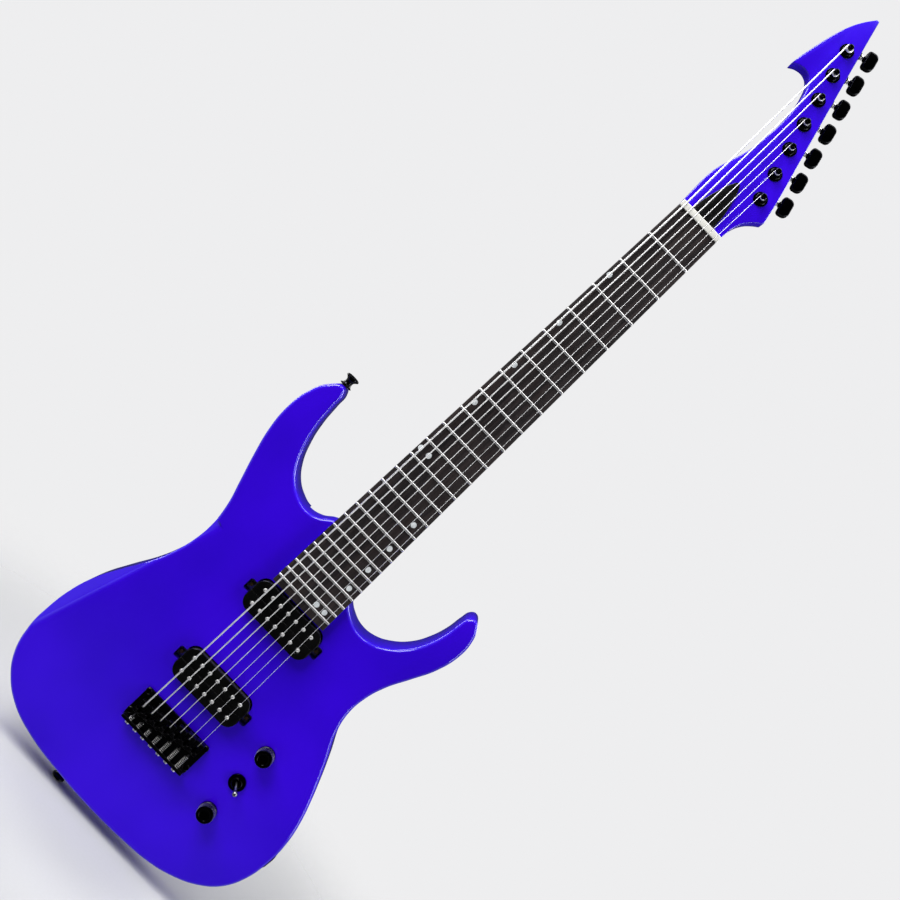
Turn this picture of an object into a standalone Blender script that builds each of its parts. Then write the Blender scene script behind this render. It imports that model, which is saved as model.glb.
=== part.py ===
"""Seven-string solid-body electric guitar.

Every piece is drawn with the guitar lying on its back: X runs across the neck towards
the thin strings, Y runs up the neck and Z rises out of the face. The empty "guitar"
then stands it upright, so that the finished object has +Z up the neck and its face
towards -Y. The empty "headstock_frame" carries the pieces of the tilted headstock.
The origin is the middle of the nut's lower edge, on the plane under the fingerboard.
All sizes are in millimetres and are scaled once, where the meshes are made.
"""

import math

import bmesh
import bpy
from mathutils import Matrix, Vector

MM = 0.001
GAP = 0.3

# Scale and neck
SCALE_LENGTH = 673.1
FRETS = 24
NUT_THICK = 5.5
NUT_HALF = 24.5
HEEL_END = -505.0
HEEL_HALF = 33.8
BOARD_END = -513.5
BOARD_THICK = 6.0
BOARD_RADIUS = 406.0
FRET_WIDTH = 2.6
FRET_HEIGHT = 1.2
NECK_DEPTH_NUT = 14.0
NECK_DEPTH_HEEL = 17.0

# Body
BODY_TOP = -2.5
BODY_BACK = -46.5
EDGE_ROUND = 3.5
CAVITY_FLOOR = -8.5
COVER_THICK = 2.2

# Headstock
HEAD_TILT = math.radians(11.0)
HEAD_THICK = 14.5
POST_RADIUS = 3.0
POST_HEIGHT = 11.5
TUNER_COUNT = 7
POST_LAST = (24.3, 55.2)
POST_STEP = (-7.3, 27.15)
WORM_OFFSET = 14.0
EDGE_ANGLE = math.atan2(7.3, 27.15)

# Strings and bridge, thickest string first
STRING_RADII = (0.75, 0.60, 0.47, 0.35, 0.26, 0.22, 0.20)
WITNESS = (-682.3, -681.0, -679.6, -677.6, -673.8, -672.6, -671.9)
NUT_PITCH = 6.87
BRIDGE_PITCH = 10.5
BRIDGE_FRONT = -671.5
BRIDGE_BACK = -708.5
BRIDGE_HALF = 41.3
PLATE_BOTTOM = BODY_TOP + GAP
PLATE_TOP = 0.8
SADDLE_WIDTH = 10.0
SADDLE_HEIGHT = 7.8
SADDLE_LENGTH = 20.0

# Pickups and controls
PICKUP_ROWS = (-534.5, -628.2)
PICKUP_HALF_LENGTH = 41.0
PICKUP_HALF_WIDTH = 17.5
PICKUP_TOP = 5.5
CONTROL_X = 82.8
KNOB_ROWS = (-637.3, -715.2)
SWITCH_ROW = -675.7
THROW_ANGLE = math.radians(24.0)
THROW_HEADING = math.radians(-35.0)
JACK_ROW = -711.0

BODY_OUTLINE = [
    (-119.0, -340.5), (-129.7, -348.0), (-139.1, -368.0), (-141.9, -393.4),
    (-139.0, -419.0), (-131.5, -446.6), (-122.5, -473.7), (-115.3, -496.0),
    (-111.4, -521.6), (-112.9, -543.8), (-117.3, -562.5), (-126.1, -586.6),
    (-140.8, -614.5), (-153.4, -640.6), (-160.9, -666.8), (-163.6, -693.1),
    (-162.7, -719.0), (-155.0, -745.4), (-140.6, -764.8), (-118.4, -780.5),
    (-88.8, -790.3), (-45.0, -796.2), (7.4, -798.5), (44.4, -797.4),
    (77.6, -794.2), (103.5, -787.3), (129.3, -774.0), (145.7, -758.0),
    (155.5, -737.0), (159.4, -711.0), (158.4, -684.4), (151.6, -656.2),
    (140.2, -628.1), (126.9, -600.2), (114.3, -576.1), (108.2, -553.9),
    (108.9, -531.5), (114.9, -509.5), (125.3, -487.2), (136.0, -463.2),
    (141.1, -439.2), (139.8, -421.0), (134.6, -409.0), (127.4, -403.0),
    (121.4, -406.5), (119.1, -416.0), (117.2, -432.0), (112.0, -450.3),
    (103.0, -467.5), (88.7, -482.0), (74.0, -490.0), (59.0, -492.0),
    (46.0, -488.5), (34.0, -480.5), (20.0, -462.0), (4.0, -440.0),
    (-14.0, -427.5), (-34.7, -434.5), (-46.0, -443.0), (-60.0, -446.6),
    (-73.0, -443.5), (-84.5, -436.8), (-95.8, -423.5), (-104.5, -404.0),
    (-109.8, -382.0), (-112.0, -360.0), (-113.4, -346.5),
]

HEAD_OUTLINE = [
    (24.6, -1.5), (24.8, 8.0), (26.6, 19.5), (31.0, 29.3), (36.9, 36.2),
    (42.8, 41.2), (37.6, 63.5), (23.2, 114.6), (8.4, 167.0), (-6.0, 218.4), (-18.2, 263.0),
    (-21.0, 262.4), (-28.5, 250.6), (-34.6, 237.0), (-39.6, 219.5), (-43.6, 199.0),
    (-46.4, 181.5), (-47.6, 170.3), (-40.0, 174.8), (-31.2, 175.4), (-23.6, 170.4),
    (-18.4, 159.5), (-15.0, 145.0), (-13.2, 125.0), (-13.6, 104.0), (-16.2, 80.0),
    (-20.4, 62.5), (-24.2, 49.0), (-26.0, 34.0), (-25.4, 16.0), (-24.6, -1.5),
]
HEAD_CORNERS = {0, 5, 10, 11, 17, 30}

COVER_OUTLINE = [
    (-13.6, 1.2), (13.6, 1.2), (12.4, 14.0), (9.0, 30.0), (4.6, 44.0), (0.0, 50.0),
    (-4.6, 44.0), (-9.0, 30.0), (-12.4, 14.0),
]
COVER_CORNERS = {0, 1}

for old in list(bpy.data.objects):
    bpy.data.objects.remove(old, do_unlink=True)

parts = bpy.data.collections.new("electric_guitar")
tools = bpy.data.collections.new("cutters")
bpy.context.scene.collection.children.link(parts)
bpy.context.scene.collection.children.link(tools)


# ---------------------------------------------------------------- materials

def material(name, colour, roughness, metallic=0.0, coat=0.0):
    mat = bpy.data.materials.new(name)
    mat.use_nodes = True
    shader = mat.node_tree.nodes["Principled BSDF"]
    shader.inputs["Base Color"].default_value = (*colour, 1.0)
    shader.inputs["Roughness"].default_value = roughness
    shader.inputs["Metallic"].default_value = metallic
    shader.inputs["Coat Weight"].default_value = coat
    return mat


BLUE_LACQUER = ("blue_lacquer", (0.026, 0.0, 0.64), 0.30, 0.0, 1.0)
EBONY = ("ebony", (0.022, 0.018, 0.022), 0.55, 0.0, 0.0)
BONE = ("bone_white", (0.86, 0.85, 0.80), 0.35, 0.0, 0.0)
BLACK_METAL = ("black_metal", (0.012, 0.012, 0.013), 0.28, 0.9, 0.0)
BLACK_PLASTIC = ("black_plastic", (0.014, 0.014, 0.015), 0.38, 0.0, 0.0)
STEEL = ("steel", (0.66, 0.67, 0.69), 0.24, 1.0, 0.0)
NICKEL_SILVER = ("nickel_silver", (0.45, 0.36, 0.24), 0.35, 1.0, 0.0)


# ---------------------------------------------------------------- helpers

def empty(name, parent=None, location=(0, 0, 0), rotation=(0, 0, 0)):
    frame = bpy.data.objects.new(name, None)
    frame.empty_display_size = 0.02
    frame.location = Vector(location) * MM
    frame.rotation_euler = rotation
    frame.parent = parent
    parts.objects.link(frame)
    return frame


def mesh_object(name, bm, parent=None, location=(0, 0, 0), rotation=(0, 0, 0), look=None):
    """Turn a bmesh drawn in millimetres into an object; without a look it is a cutter."""
    bmesh.ops.scale(bm, vec=(MM, MM, MM), verts=bm.verts)
    bmesh.ops.recalc_face_normals(bm, faces=bm.faces)
    mesh = bpy.data.meshes.new(name)
    bm.to_mesh(mesh)
    bm.free()
    return place(name, mesh, parent, location, rotation, look)


def place(name, mesh, parent, location, rotation, look):
    obj = bpy.data.objects.new(name, mesh)
    obj.location = Vector(location) * MM
    obj.rotation_euler = rotation
    obj.parent = parent
    if look is None:
        tools.objects.link(obj)
        obj.hide_render = True
        obj.display_type = "WIRE"
    else:
        parts.objects.link(obj)
        if not mesh.materials:
            mesh.materials.append(material(f"{name}_{look[0]}", *look[1:]))
        mesh.shade_smooth()
        mesh.set_sharp_from_angle(angle=math.radians(35))
    return obj


def box(name, low, high, **where):
    bm = bmesh.new()
    bmesh.ops.create_cube(bm, size=1.0)
    low, high = Vector(low), Vector(high)
    bmesh.ops.scale(bm, vec=high - low, verts=bm.verts)
    bmesh.ops.translate(bm, vec=(low + high) / 2, verts=bm.verts)
    return mesh_object(name, bm, **where)


def cylinder(name, radius, low, high, sides=24, axis="Z", **where):
    """A rod from low to high along its axis, round the object's own origin."""
    bm = bmesh.new()
    bmesh.ops.create_cone(
        bm, cap_ends=True, segments=sides, radius1=radius, radius2=radius, depth=high - low)
    bmesh.ops.translate(bm, vec=(0, 0, (low + high) / 2), verts=bm.verts)
    turn = {"X": Matrix.Rotation(math.pi / 2, 3, "Y"),
            "Y": Matrix.Rotation(-math.pi / 2, 3, "X"),
            "Z": Matrix.Identity(3)}[axis]
    bmesh.ops.rotate(bm, matrix=turn, verts=bm.verts)
    return mesh_object(name, bm, **where)


def outline(name, points, low, high, corners=(), steps=2, **where):
    """A flat shape with curved sides, drawn through its points from low to high."""
    data = bpy.data.curves.new(name, "CURVE")
    data.dimensions = "2D"
    data.fill_mode = "BOTH"
    data.resolution_u = steps
    data.extrude = (high - low) / 2 * MM
    spline = data.splines.new("BEZIER")
    spline.bezier_points.add(len(points) - 1)
    for number, (point, (x, y)) in enumerate(zip(spline.bezier_points, points)):
        point.co = (x * MM, y * MM, 0)
        kind = "VECTOR" if number in corners else "AUTO"
        point.handle_left_type = point.handle_right_type = kind
    spline.use_cyclic_u = True
    curve = bpy.data.objects.new(name, data)
    parts.objects.link(curve)
    mesh = solid_from_curve(curve)
    mesh.transform(Matrix.Translation((0, 0, (low + high) / 2 * MM)))
    return place(name, mesh, where.get("parent"), where.get("location", (0, 0, 0)),
                 where.get("rotation", (0, 0, 0)), where.get("look"))


def solid_from_curve(curve):
    """The curve's own mesh with flat welded caps; the curve itself is removed."""
    bpy.context.view_layer.update()
    mesh = bpy.data.meshes.new_from_object(
        curve.evaluated_get(bpy.context.evaluated_depsgraph_get()))
    bm = bmesh.new()
    bm.from_mesh(mesh)
    bmesh.ops.remove_doubles(bm, verts=bm.verts, dist=0.00002)
    bmesh.ops.recalc_face_normals(bm, faces=bm.faces)
    inner = [e for e in bm.edges if all(abs(f.normal.z) > 0.99 for f in e.link_faces)]
    bmesh.ops.dissolve_edges(bm, edges=inner, use_verts=False)
    bm.to_mesh(mesh)
    bm.free()
    mesh.materials.clear()
    bpy.data.objects.remove(curve, do_unlink=True)
    return mesh


def rounded_box(points_x, points_y, radius, corner_steps=3):
    """Corner points of a rectangle with round corners, anticlockwise."""
    (x0, x1), (y0, y1) = points_x, points_y
    ring = []
    for cx, cy, start in ((x1 - radius, y0 + radius, -90), (x1 - radius, y1 - radius, 0),
                          (x0 + radius, y1 - radius, 90), (x0 + radius, y0 + radius, 180)):
        for step in range(corner_steps + 1):
            angle = math.radians(start + 90 * step / corner_steps)
            ring.append((cx + radius * math.cos(angle), cy + radius * math.sin(angle)))
    return ring


def slab(name, ring, low, high, **where):
    """A straight-sided plate over a ring of points."""
    bm = bmesh.new()
    face = bm.faces.new([bm.verts.new((x, y, low)) for x, y in ring])
    lifted = bmesh.ops.extrude_face_region(bm, geom=[face])["geom"]
    bmesh.ops.translate(bm, vec=(0, 0, high - low),
                        verts=[v for v in lifted if isinstance(v, bmesh.types.BMVert)])
    return mesh_object(name, bm, **where)


def turned(name, profile, steps=28, **where):
    """A profile of (radius, height), from the top of the axis down the outside."""
    bm = bmesh.new()
    closed = profile[0] == profile[-1]
    points = profile[:-1] if closed else profile
    verts = [bm.verts.new((radius, 0, height)) for radius, height in points]
    for first, second in zip(verts, verts[1:] + (verts[:1] if closed else [])):
        bm.edges.new((first, second))
    obj = mesh_object(name, bm, **where)
    screw = obj.modifiers.new("Turn", "SCREW")
    screw.steps = screw.render_steps = steps
    screw.use_merge_vertices = True
    screw.merge_threshold = 0.00002
    screw.use_smooth_shade = True
    return obj


def soften(obj, width, segments=2, angle=40):
    bevel = obj.modifiers.new("Soften", "BEVEL")
    bevel.width = width * MM
    bevel.segments = segments
    bevel.limit_method = "ANGLE"
    bevel.angle_limit = math.radians(angle)
    bevel.use_clamp_overlap = False
    return obj


def combine(obj, others, operation="DIFFERENCE"):
    for other in others:
        step = obj.modifiers.new(f"{operation.title()} {other.name}", "BOOLEAN")
        step.operation = operation
        step.solver = "EXACT"
        step.object = other
    return obj


def wire(name, path, radius, parent, look):
    """A round wire along a path of points."""
    data = bpy.data.curves.new(name, "CURVE")
    data.dimensions = "3D"
    data.bevel_depth = radius * MM
    data.bevel_resolution = 2
    data.use_fill_caps = True
    spline = data.splines.new("POLY")
    spline.points.add(len(path) - 1)
    for point, place_mm in zip(spline.points, path):
        point.co = (*(Vector(place_mm) * MM), 1.0)
    data.materials.append(material(f"{name}_{look[0]}", *look[1:]))
    obj = bpy.data.objects.new(name, data)
    obj.parent = parent
    parts.objects.link(obj)
    return obj


def fret_place(number):
    return -SCALE_LENGTH * (1 - 2 ** (-number / 12))


def neck_half(y):
    return NUT_HALF + (HEEL_HALF - NUT_HALF) * min(max(y / HEEL_END, 0), 1.02)


def board_drop(x):
    """How far the crowned fingerboard falls below its middle at x."""
    return x * x / (2 * BOARD_RADIUS)


def lane(number, y):
    """Sideways place of a string at y, thickest string first."""
    part = y / -SCALE_LENGTH
    pitch = NUT_PITCH + (BRIDGE_PITCH - NUT_PITCH) * part
    return (number - 3) * pitch


guitar = empty("guitar", rotation=(math.pi / 2, 0, 0))
head = empty("headstock_frame", guitar, (0, NUT_THICK, 0), (-HEAD_TILT, 0, 0))
on_body = {"parent": guitar}
on_head = {"parent": head}


# ---------------------------------------------------------------- neck

def neck_section(y, grow):
    """Points of the neck's cross-section at y, from one edge round the back."""
    heel = min(max((y + 400) / -45, 0), 1)
    heel = heel * heel * (3 - 2 * heel)
    half = neck_half(y) + grow
    part = min(max(-y / 400, 0), 1)
    depth = NECK_DEPTH_NUT + (NECK_DEPTH_HEEL - NECK_DEPTH_NUT) * part + grow
    power = 2.15 + 4.85 * heel
    ring = []
    for step in range(13):
        angle = math.pi * step / 12
        side, down = math.cos(angle), math.sin(angle)
        reach = (abs(side) ** power + abs(down) ** power) ** (-1 / power)
        ring.append((half * side * reach, y, -depth * down * reach))
    return ring


def neck_shaft(name, rows, top, grow, **where):
    """The long back of the neck, lofted through its cross-sections."""
    bm = bmesh.new()
    rings = []
    for y in rows:
        points = neck_section(y, grow)
        points[0] = (points[0][0], y, top)
        points[-1] = (points[-1][0], y, top)
        rings.append([bm.verts.new(point) for point in points])
    for first, second in zip(rings, rings[1:]):
        count = len(first)
        for i in range(count):
            j = (i + 1) % count
            bm.faces.new((first[i], first[j], second[j], second[i]))
    bm.faces.new(rings[0])
    bm.faces.new(reversed(rings[-1]))
    return mesh_object(name, bm, **where)


neck_rows = [4, 0, -60, -130, -200, -270, -330, -380, -400, -415, -430, -445, -475, HEEL_END]
neck = neck_shaft("neck", neck_rows, 0.0, 0.0, look=BLUE_LACQUER, **on_body)
neck_room = neck_shaft("neck_room", [-395, -415, -430, -445, -475, HEEL_END - GAP],
                       10.0, GAP, **on_body)

head_slab = outline("headstock_slab", HEAD_OUTLINE, -HEAD_THICK, 0.0, HEAD_CORNERS,
                    **on_head)
soften(head_slab, 1.2, 1, 50)
throat = slab("throat", [(-19.5, -24), (19.5, -24), (19.5, 16), (-19.5, 16)],
              -HEAD_THICK, -4.0, **on_head)
soften(throat, 5.0, 2)
combine(neck, [head_slab, throat], "UNION")


# ---------------------------------------------------------------- fingerboard and nut

def board_plate(name, y0, y1, low, rise, side_steps=6, inset=0.0, **where):
    """A plate with the neck's taper whose top is crowned across."""
    bm = bmesh.new()
    rings = []
    for y in (y0, y1):
        half = neck_half(y) - inset
        top = []
        for step in range(side_steps + 1):
            x = half - 2 * half * step / side_steps
            top.append((x, y, rise - board_drop(x)))
        rings.append([bm.verts.new(p) for p in top + [(-half, y, low), (half, y, low)]])
    count = len(rings[0])
    for i in range(count):
        j = (i + 1) % count
        bm.faces.new((rings[0][i], rings[0][j], rings[1][j], rings[1][i]))
    bm.faces.new(rings[0])
    bm.faces.new(reversed(rings[1]))
    return mesh_object(name, bm, **where)


board = board_plate("fretboard", -GAP, BOARD_END, GAP, BOARD_THICK, look=EBONY, **on_body)
wires = []
for number in range(1, FRETS + 1):
    y = fret_place(number)
    wires.append(board_plate(f"fret_{number}", y + FRET_WIDTH / 2, y - FRET_WIDTH / 2,
                             BOARD_THICK - 2.5, BOARD_THICK + FRET_HEIGHT, 4, 0.4,
                             **on_body))
combine(board, wires, "UNION")

nut = board_plate("nut", NUT_THICK - GAP, 0.0, GAP, BOARD_THICK + 2.4, 8,
                  look=BONE, **on_body)
slots = []
for number, radius in enumerate(STRING_RADII):
    x = lane(number, 0)
    floor = BOARD_THICK + 1.6 - board_drop(x)
    slots.append(box(f"nut_slot_{number + 1}", (x - radius - GAP, -2, floor),
                     (x + radius + GAP, NUT_THICK + 3, 12), **on_body))
combine(nut, slots)

cover = outline("truss_rod_cover", COVER_OUTLINE, GAP, 2.2, COVER_CORNERS,
                look=BLACK_PLASTIC, **on_head)


# ---------------------------------------------------------------- body

body = outline("body", BODY_OUTLINE, BODY_BACK, BODY_TOP, look=BLUE_LACQUER, **on_body)
soften(body, EDGE_ROUND, 2, 50)

forearm = box("forearm_cut", (-60, -120, 0), (0, 120, 30), parent=guitar,
              location=(-139.5, -640.0, BODY_TOP),
              rotation=(0, math.radians(-32), math.radians(-16.5)))
heel_cut = box("heel_cut", (-60, 0, -40), (60, 80, 0), parent=guitar,
               location=(0, -500, BODY_BACK), rotation=(math.radians(14), 0, 0))


def pickup_room(name, row):
    """The pocket of one pickup with its two ear recesses."""
    half, wide = PICKUP_HALF_LENGTH + 0.8, PICKUP_HALF_WIDTH + 0.8
    pocket = slab(name, rounded_box((-half, half), (row - wide, row + wide), 10.0),
                  -21.0, 10.0, **on_body)
    ears = slab(name + "_ears", rounded_box((-48.6, 48.6), (row - 6.6, row + 6.6), 2.5),
                -19.0, 9.0, **on_body)
    return [pocket, ears]


rooms = pickup_room("neck_pickup_room", PICKUP_ROWS[0])
rooms += pickup_room("bridge_pickup_room", PICKUP_ROWS[1])

cavity = slab("control_cavity", rounded_box((62, 104), (-735, -618), 12.0),
              -60.0, CAVITY_FLOOR, **on_body)
ledge = slab("cover_ledge", rounded_box((56, 110), (-741, -612), 16.0),
             -60.0, BODY_BACK + COVER_THICK, **on_body)
bores = [cylinder(f"pot_bore_{n + 1}", 4.2, -20, 5, parent=guitar,
                  location=(CONTROL_X, row, 0)) for n, row in enumerate(KNOB_ROWS)]
bores.append(cylinder("switch_bore", 3.4, -20, 5, parent=guitar,
                      location=(CONTROL_X, SWITCH_ROW, 0)))
bores.append(cylinder("jack_bore", 10.3, 95, 175, sides=28, axis="X", parent=guitar,
                      location=(0, JACK_ROW, -24.5)))
bores.append(cylinder("horn_screw_bore", 1.8, -30, 20, sides=8, axis="Y", parent=guitar,
                      location=(-119.5, -341, -24.5)))
bores.append(cylinder("tail_screw_bore", 1.8, -20, 30, sides=8, axis="Y", parent=guitar,
                      location=(-40.0, -797, -24.5)))

ferrule_row = [w - 7.5 for w in WITNESS]
for number, y in enumerate(ferrule_row):
    bores.append(cylinder(f"string_bore_{number + 1}", 2.0, -60, 5, sides=8,
                          parent=guitar, location=(lane(number, -SCALE_LENGTH), y, 0)))

FERRULE_RING = [(-37.2, -696.6), (-1.0, -692.6), (37.2, -684.8),
                (37.2, -674.4), (1.0, -679.0), (-37.2, -683.6)]
ferrule_grow = [(x + math.copysign(GAP, x), y + (GAP if n > 2 else -GAP))
                for n, (x, y) in enumerate(FERRULE_RING)]
ferrule_seat = slab("ferrule_seat", ferrule_grow, -60, BODY_BACK + 3.2, **on_body)
combine(body, [forearm, heel_cut, neck_room] + rooms + [cavity, ledge, ferrule_seat] + bores)

plate = slab("string_ferrule_plate", FERRULE_RING, BODY_BACK - 0.4, BODY_BACK + 2.9,
             look=BLACK_METAL, **on_body)
plate_holes = [cylinder(f"ferrule_hole_{n + 1}", 1.7, -60, -40, sides=8, parent=guitar,
                        location=(lane(n, -SCALE_LENGTH), y, 0))
               for n, y in enumerate(ferrule_row)]
combine(plate, plate_holes)

slab("control_cavity_cover",
     rounded_box((56 + GAP, 110 - GAP), (-741 + GAP, -612 - GAP), 15.7),
     BODY_BACK, BODY_BACK + COVER_THICK - GAP, look=BLACK_PLASTIC, **on_body)


# ---------------------------------------------------------------- bridge

bridge = slab("bridge_plate",
              rounded_box((-BRIDGE_HALF, BRIDGE_HALF), (BRIDGE_BACK, BRIDGE_FRONT), 3.0),
              PLATE_BOTTOM, PLATE_TOP, look=BLACK_METAL, **on_body)
wall = box("bridge_wall", (-BRIDGE_HALF + 1.5, BRIDGE_BACK, PLATE_BOTTOM + 1),
           (BRIDGE_HALF - 1.5, BRIDGE_BACK + 3.0, 8.0), **on_body)
combine(bridge, [wall], "UNION")
plate_bores = []
for number, y in enumerate(ferrule_row):
    x = lane(number, -SCALE_LENGTH)
    plate_bores.append(cylinder(f"bridge_bore_{number + 1}", 2.0, -8, 5, sides=8,
                                parent=guitar, location=(x, y, 0)))
    plate_bores.append(cylinder(f"screw_bore_{number + 1}", 1.6, -6, 6, sides=8, axis="Y",
                                parent=guitar, location=(x, BRIDGE_BACK, 4.6)))
combine(bridge, plate_bores)


def saddle_mesh():
    """The block under one string, drawn round the point where the string leaves it."""
    block = slab("saddle_block", [(-SADDLE_WIDTH / 2, 0.8 - SADDLE_LENGTH),
                                  (SADDLE_WIDTH / 2, 0.8 - SADDLE_LENGTH),
                                  (SADDLE_WIDTH / 2, 0.8), (-SADDLE_WIDTH / 2, 0.8)],
                 -SADDLE_HEIGHT, 0.0)
    slot = slab("saddle_slot", rounded_box((-1.6, 1.6), (-12.5, -0.8), 1.0, 1), -20, 10)
    rear = box("saddle_rear", (-10, -40, -2.6), (10, -13.5, 5))
    screw = cylinder("saddle_screw_bore", 1.6, -25, -13, sides=8, axis="Y",
                     location=(0, 0, -5.4))
    combine(block, [slot, rear, screw])
    bpy.context.view_layer.update()
    mesh = bpy.data.meshes.new_from_object(
        block.evaluated_get(bpy.context.evaluated_depsgraph_get()))
    mesh.name = "saddle"
    for tool in (block, slot, rear, screw):
        bpy.data.objects.remove(tool, do_unlink=True)
    return mesh


saddle_shape = saddle_mesh()
saddle_tops = []
for number, y in enumerate(WITNESS):
    x = lane(number, -SCALE_LENGTH)
    top = 10.2 - board_drop(x)
    saddle_tops.append(top)
    place(f"saddle_{number + 1}", saddle_shape, guitar, (x, y, top), (0, 0, 0), BLACK_METAL)


# ---------------------------------------------------------------- pickups

for name, row in zip(("neck_pickup", "bridge_pickup"), PICKUP_ROWS):
    base = slab(f"{name}_base", rounded_box((-39, 39), (row - 16.5, row + 16.5), 9.0),
                -15.0, -12.5, look=NICKEL_SILVER, **on_body)
    legs = slab(f"{name}_legs", rounded_box((-48.0, 48.0), (row - 5.8, row + 5.8), 2.0),
                -14.6, -13.0, **on_body)
    combine(base, [legs], "UNION")
    for side, letter in ((1, "a"), (-1, "b")):
        near, far = row + side * 0.3, row + side * PICKUP_HALF_WIDTH
        half = PICKUP_HALF_LENGTH
        low, high = min(near, far), max(near, far)
        ring = rounded_box((-half, half), (low, high), 1.2, 1)
        outer = rounded_box((-half, half), (row - PICKUP_HALF_WIDTH, row + PICKUP_HALF_WIDTH),
                            10.0)
        coil = slab(f"{name}_bobbin_{letter}", ring, -12.2, PICKUP_TOP,
                    look=BLACK_PLASTIC, **on_body)
        keep = slab(f"{name}_keep_{letter}", outer, -15.0, 10.0, **on_body)
        combine(coil, [keep], "INTERSECT")


# ---------------------------------------------------------------- controls

for number, row in enumerate(KNOB_ROWS):
    spot = {"parent": guitar, "location": (CONTROL_X, row, 0)}
    turned(f"control_knob_{number + 1}",
           [(0, 13.2), (8.0, 13.2), (8.6, 12.6), (9.3, -1.0), (8.8, -1.6),
            (3.3, -1.6), (3.3, 10.0), (0, 10.0)], 20, look=BLACK_METAL, **spot)
    turned(f"potentiometer_{number + 1}",
           [(0, 9.4), (3.0, 9.4), (3.0, -2.0), (3.9, -2.0), (3.9, CAVITY_FLOOR - GAP),
            (8.6, CAVITY_FLOOR - GAP), (8.6, -17.0), (0, -17.0)], 12,
           look=STEEL, **spot)

switch_spot = {"parent": guitar, "location": (CONTROL_X, SWITCH_ROW, 0)}
switch = turned("switch_body",
                [(5.0, 2.8), (5.0, 0.6), (8.6, 0.2), (8.8, BODY_TOP + GAP),
                 (3.1, BODY_TOP + GAP), (3.1, CAVITY_FLOOR - GAP), (6.4, CAVITY_FLOOR - GAP),
                 (6.4, -22.0), (2.2, -22.0), (2.2, -4.0), (4.0, 2.8), (5.0, 2.8)], 16,
                look=BLACK_METAL, **switch_spot)

THROW_TURN = Matrix.Rotation(THROW_HEADING, 3, "Z") @ Matrix.Rotation(THROW_ANGLE, 3, "Y")
turned("switch_lever",
       [(0, 17.6), (1.7, 17.1), (2.6, 15.6), (2.6, 14.2), (1.5, 11.0), (1.2, 1.5),
        (1.1, -2.4), (0, -2.4)],
       12, parent=guitar, location=(CONTROL_X, SWITCH_ROW, 1.0),
       rotation=THROW_TURN.to_euler(), look=BLACK_METAL)

jack = turned("output_jack",
              [(12.5, 1.6), (12.5, 0.4), (10.0, 0.4), (10.0, -30.0), (3.3, -30.0),
               (3.3, 1.6), (12.5, 1.6)], 20, parent=guitar,
              location=(159.7, JACK_ROW, -24.5), rotation=(0, math.pi / 2, 0),
              look=BLACK_METAL)

STRAP_PROFILE = [(0, 12.0), (4.0, 12.0), (7.2, 10.8), (7.2, 9.6), (3.9, 6.0), (4.6, 2.0),
                 (6.6, 0.6), (6.6, 0.0), (1.5, 0.0), (1.5, -24.0), (0, -24.0)]
turned("strap_button_horn", STRAP_PROFILE, 14, parent=guitar,
       location=(-119.5, -340.2, -24.5), rotation=(-math.pi / 2, 0, 0), look=BLACK_METAL)
turned("strap_button_tail", STRAP_PROFILE, 14, parent=guitar,
       location=(-40.0, -797.2, -24.5), rotation=(math.pi / 2, 0, 0), look=BLACK_METAL)


# ---------------------------------------------------------------- tuners and strings

head_bores = []
post_spots = []
for number in range(TUNER_COUNT):
    steps = TUNER_COUNT - 1 - number
    px = POST_LAST[0] + POST_STEP[0] * steps
    py = POST_LAST[1] + POST_STEP[1] * steps
    post_spots.append((px, py))
    spot = empty(f"tuner_frame_{number + 1}", head, (px, py, 0), (0, 0, EDGE_ANGLE))
    here = {"parent": spot}
    head_bores.append(cylinder(f"bushing_bore_{number + 1}", 5.3, -30, 5, sides=12, **here))

    housing = slab(f"tuner_housing_{number + 1}",
                   rounded_box((-9.0, 15.6), (-7.8, 19.2), 3.0, 2),
                   -HEAD_THICK - 11.0, -HEAD_THICK - GAP, look=BLACK_METAL, **here)
    soften(housing, 1.2, 1, 50)
    bushing = turned(f"bushing_{number + 1}",
                     [(0, 2.4), (6.0, 2.4), (7.0, 1.2), (7.0, GAP), (4.9, GAP),
                      (4.9, -HEAD_THICK - 2), (0, -HEAD_THICK - 2)], 12, **here)
    post_bore = cylinder(f"post_bore_{number + 1}", POST_RADIUS + GAP,
                         -HEAD_THICK - 8, 10, sides=12, **here)
    worm_bore = cylinder(f"worm_bore_{number + 1}", 2.4, 6, 20, sides=10, axis="X",
                         parent=spot, location=(0, WORM_OFFSET, -HEAD_THICK - 5.6))
    combine(housing, [bushing], "UNION")
    combine(housing, [post_bore, worm_bore])

    turned(f"tuner_post_{number + 1}",
           [(0, POST_HEIGHT), (2.5, POST_HEIGHT), (3.0, POST_HEIGHT - 0.6),
            (3.0, POST_HEIGHT - 1.9), (2.3, POST_HEIGHT - 2.8), (2.3, 5.0), (3.0, 4.2),
            (3.0, -HEAD_THICK - 7.5), (0, -HEAD_THICK - 7.5)], 12,
           look=BLACK_METAL, **here)

    worm = {"parent": spot, "location": (0, WORM_OFFSET, -HEAD_THICK - 5.6)}
    knob = slab(f"tuner_button_{number + 1}",
                rounded_box((21.5, 33.5), (-9.6, 9.6), 5.0, 2), -3.9, 3.9,
                look=BLACK_METAL, **worm)
    soften(knob, 1.6, 1, 50)
    shaft = cylinder(f"worm_shaft_{number + 1}", 2.0, 7, 23, sides=10, axis="X", **worm)
    combine(knob, [shaft], "UNION")
combine(neck, head_bores)


def head_point(x, y, z):
    """A point of the headstock frame in the guitar's own frame."""
    cos, sin = math.cos(HEAD_TILT), math.sin(HEAD_TILT)
    return (x, NUT_THICK + y * cos + z * sin, z * cos - y * sin)


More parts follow.
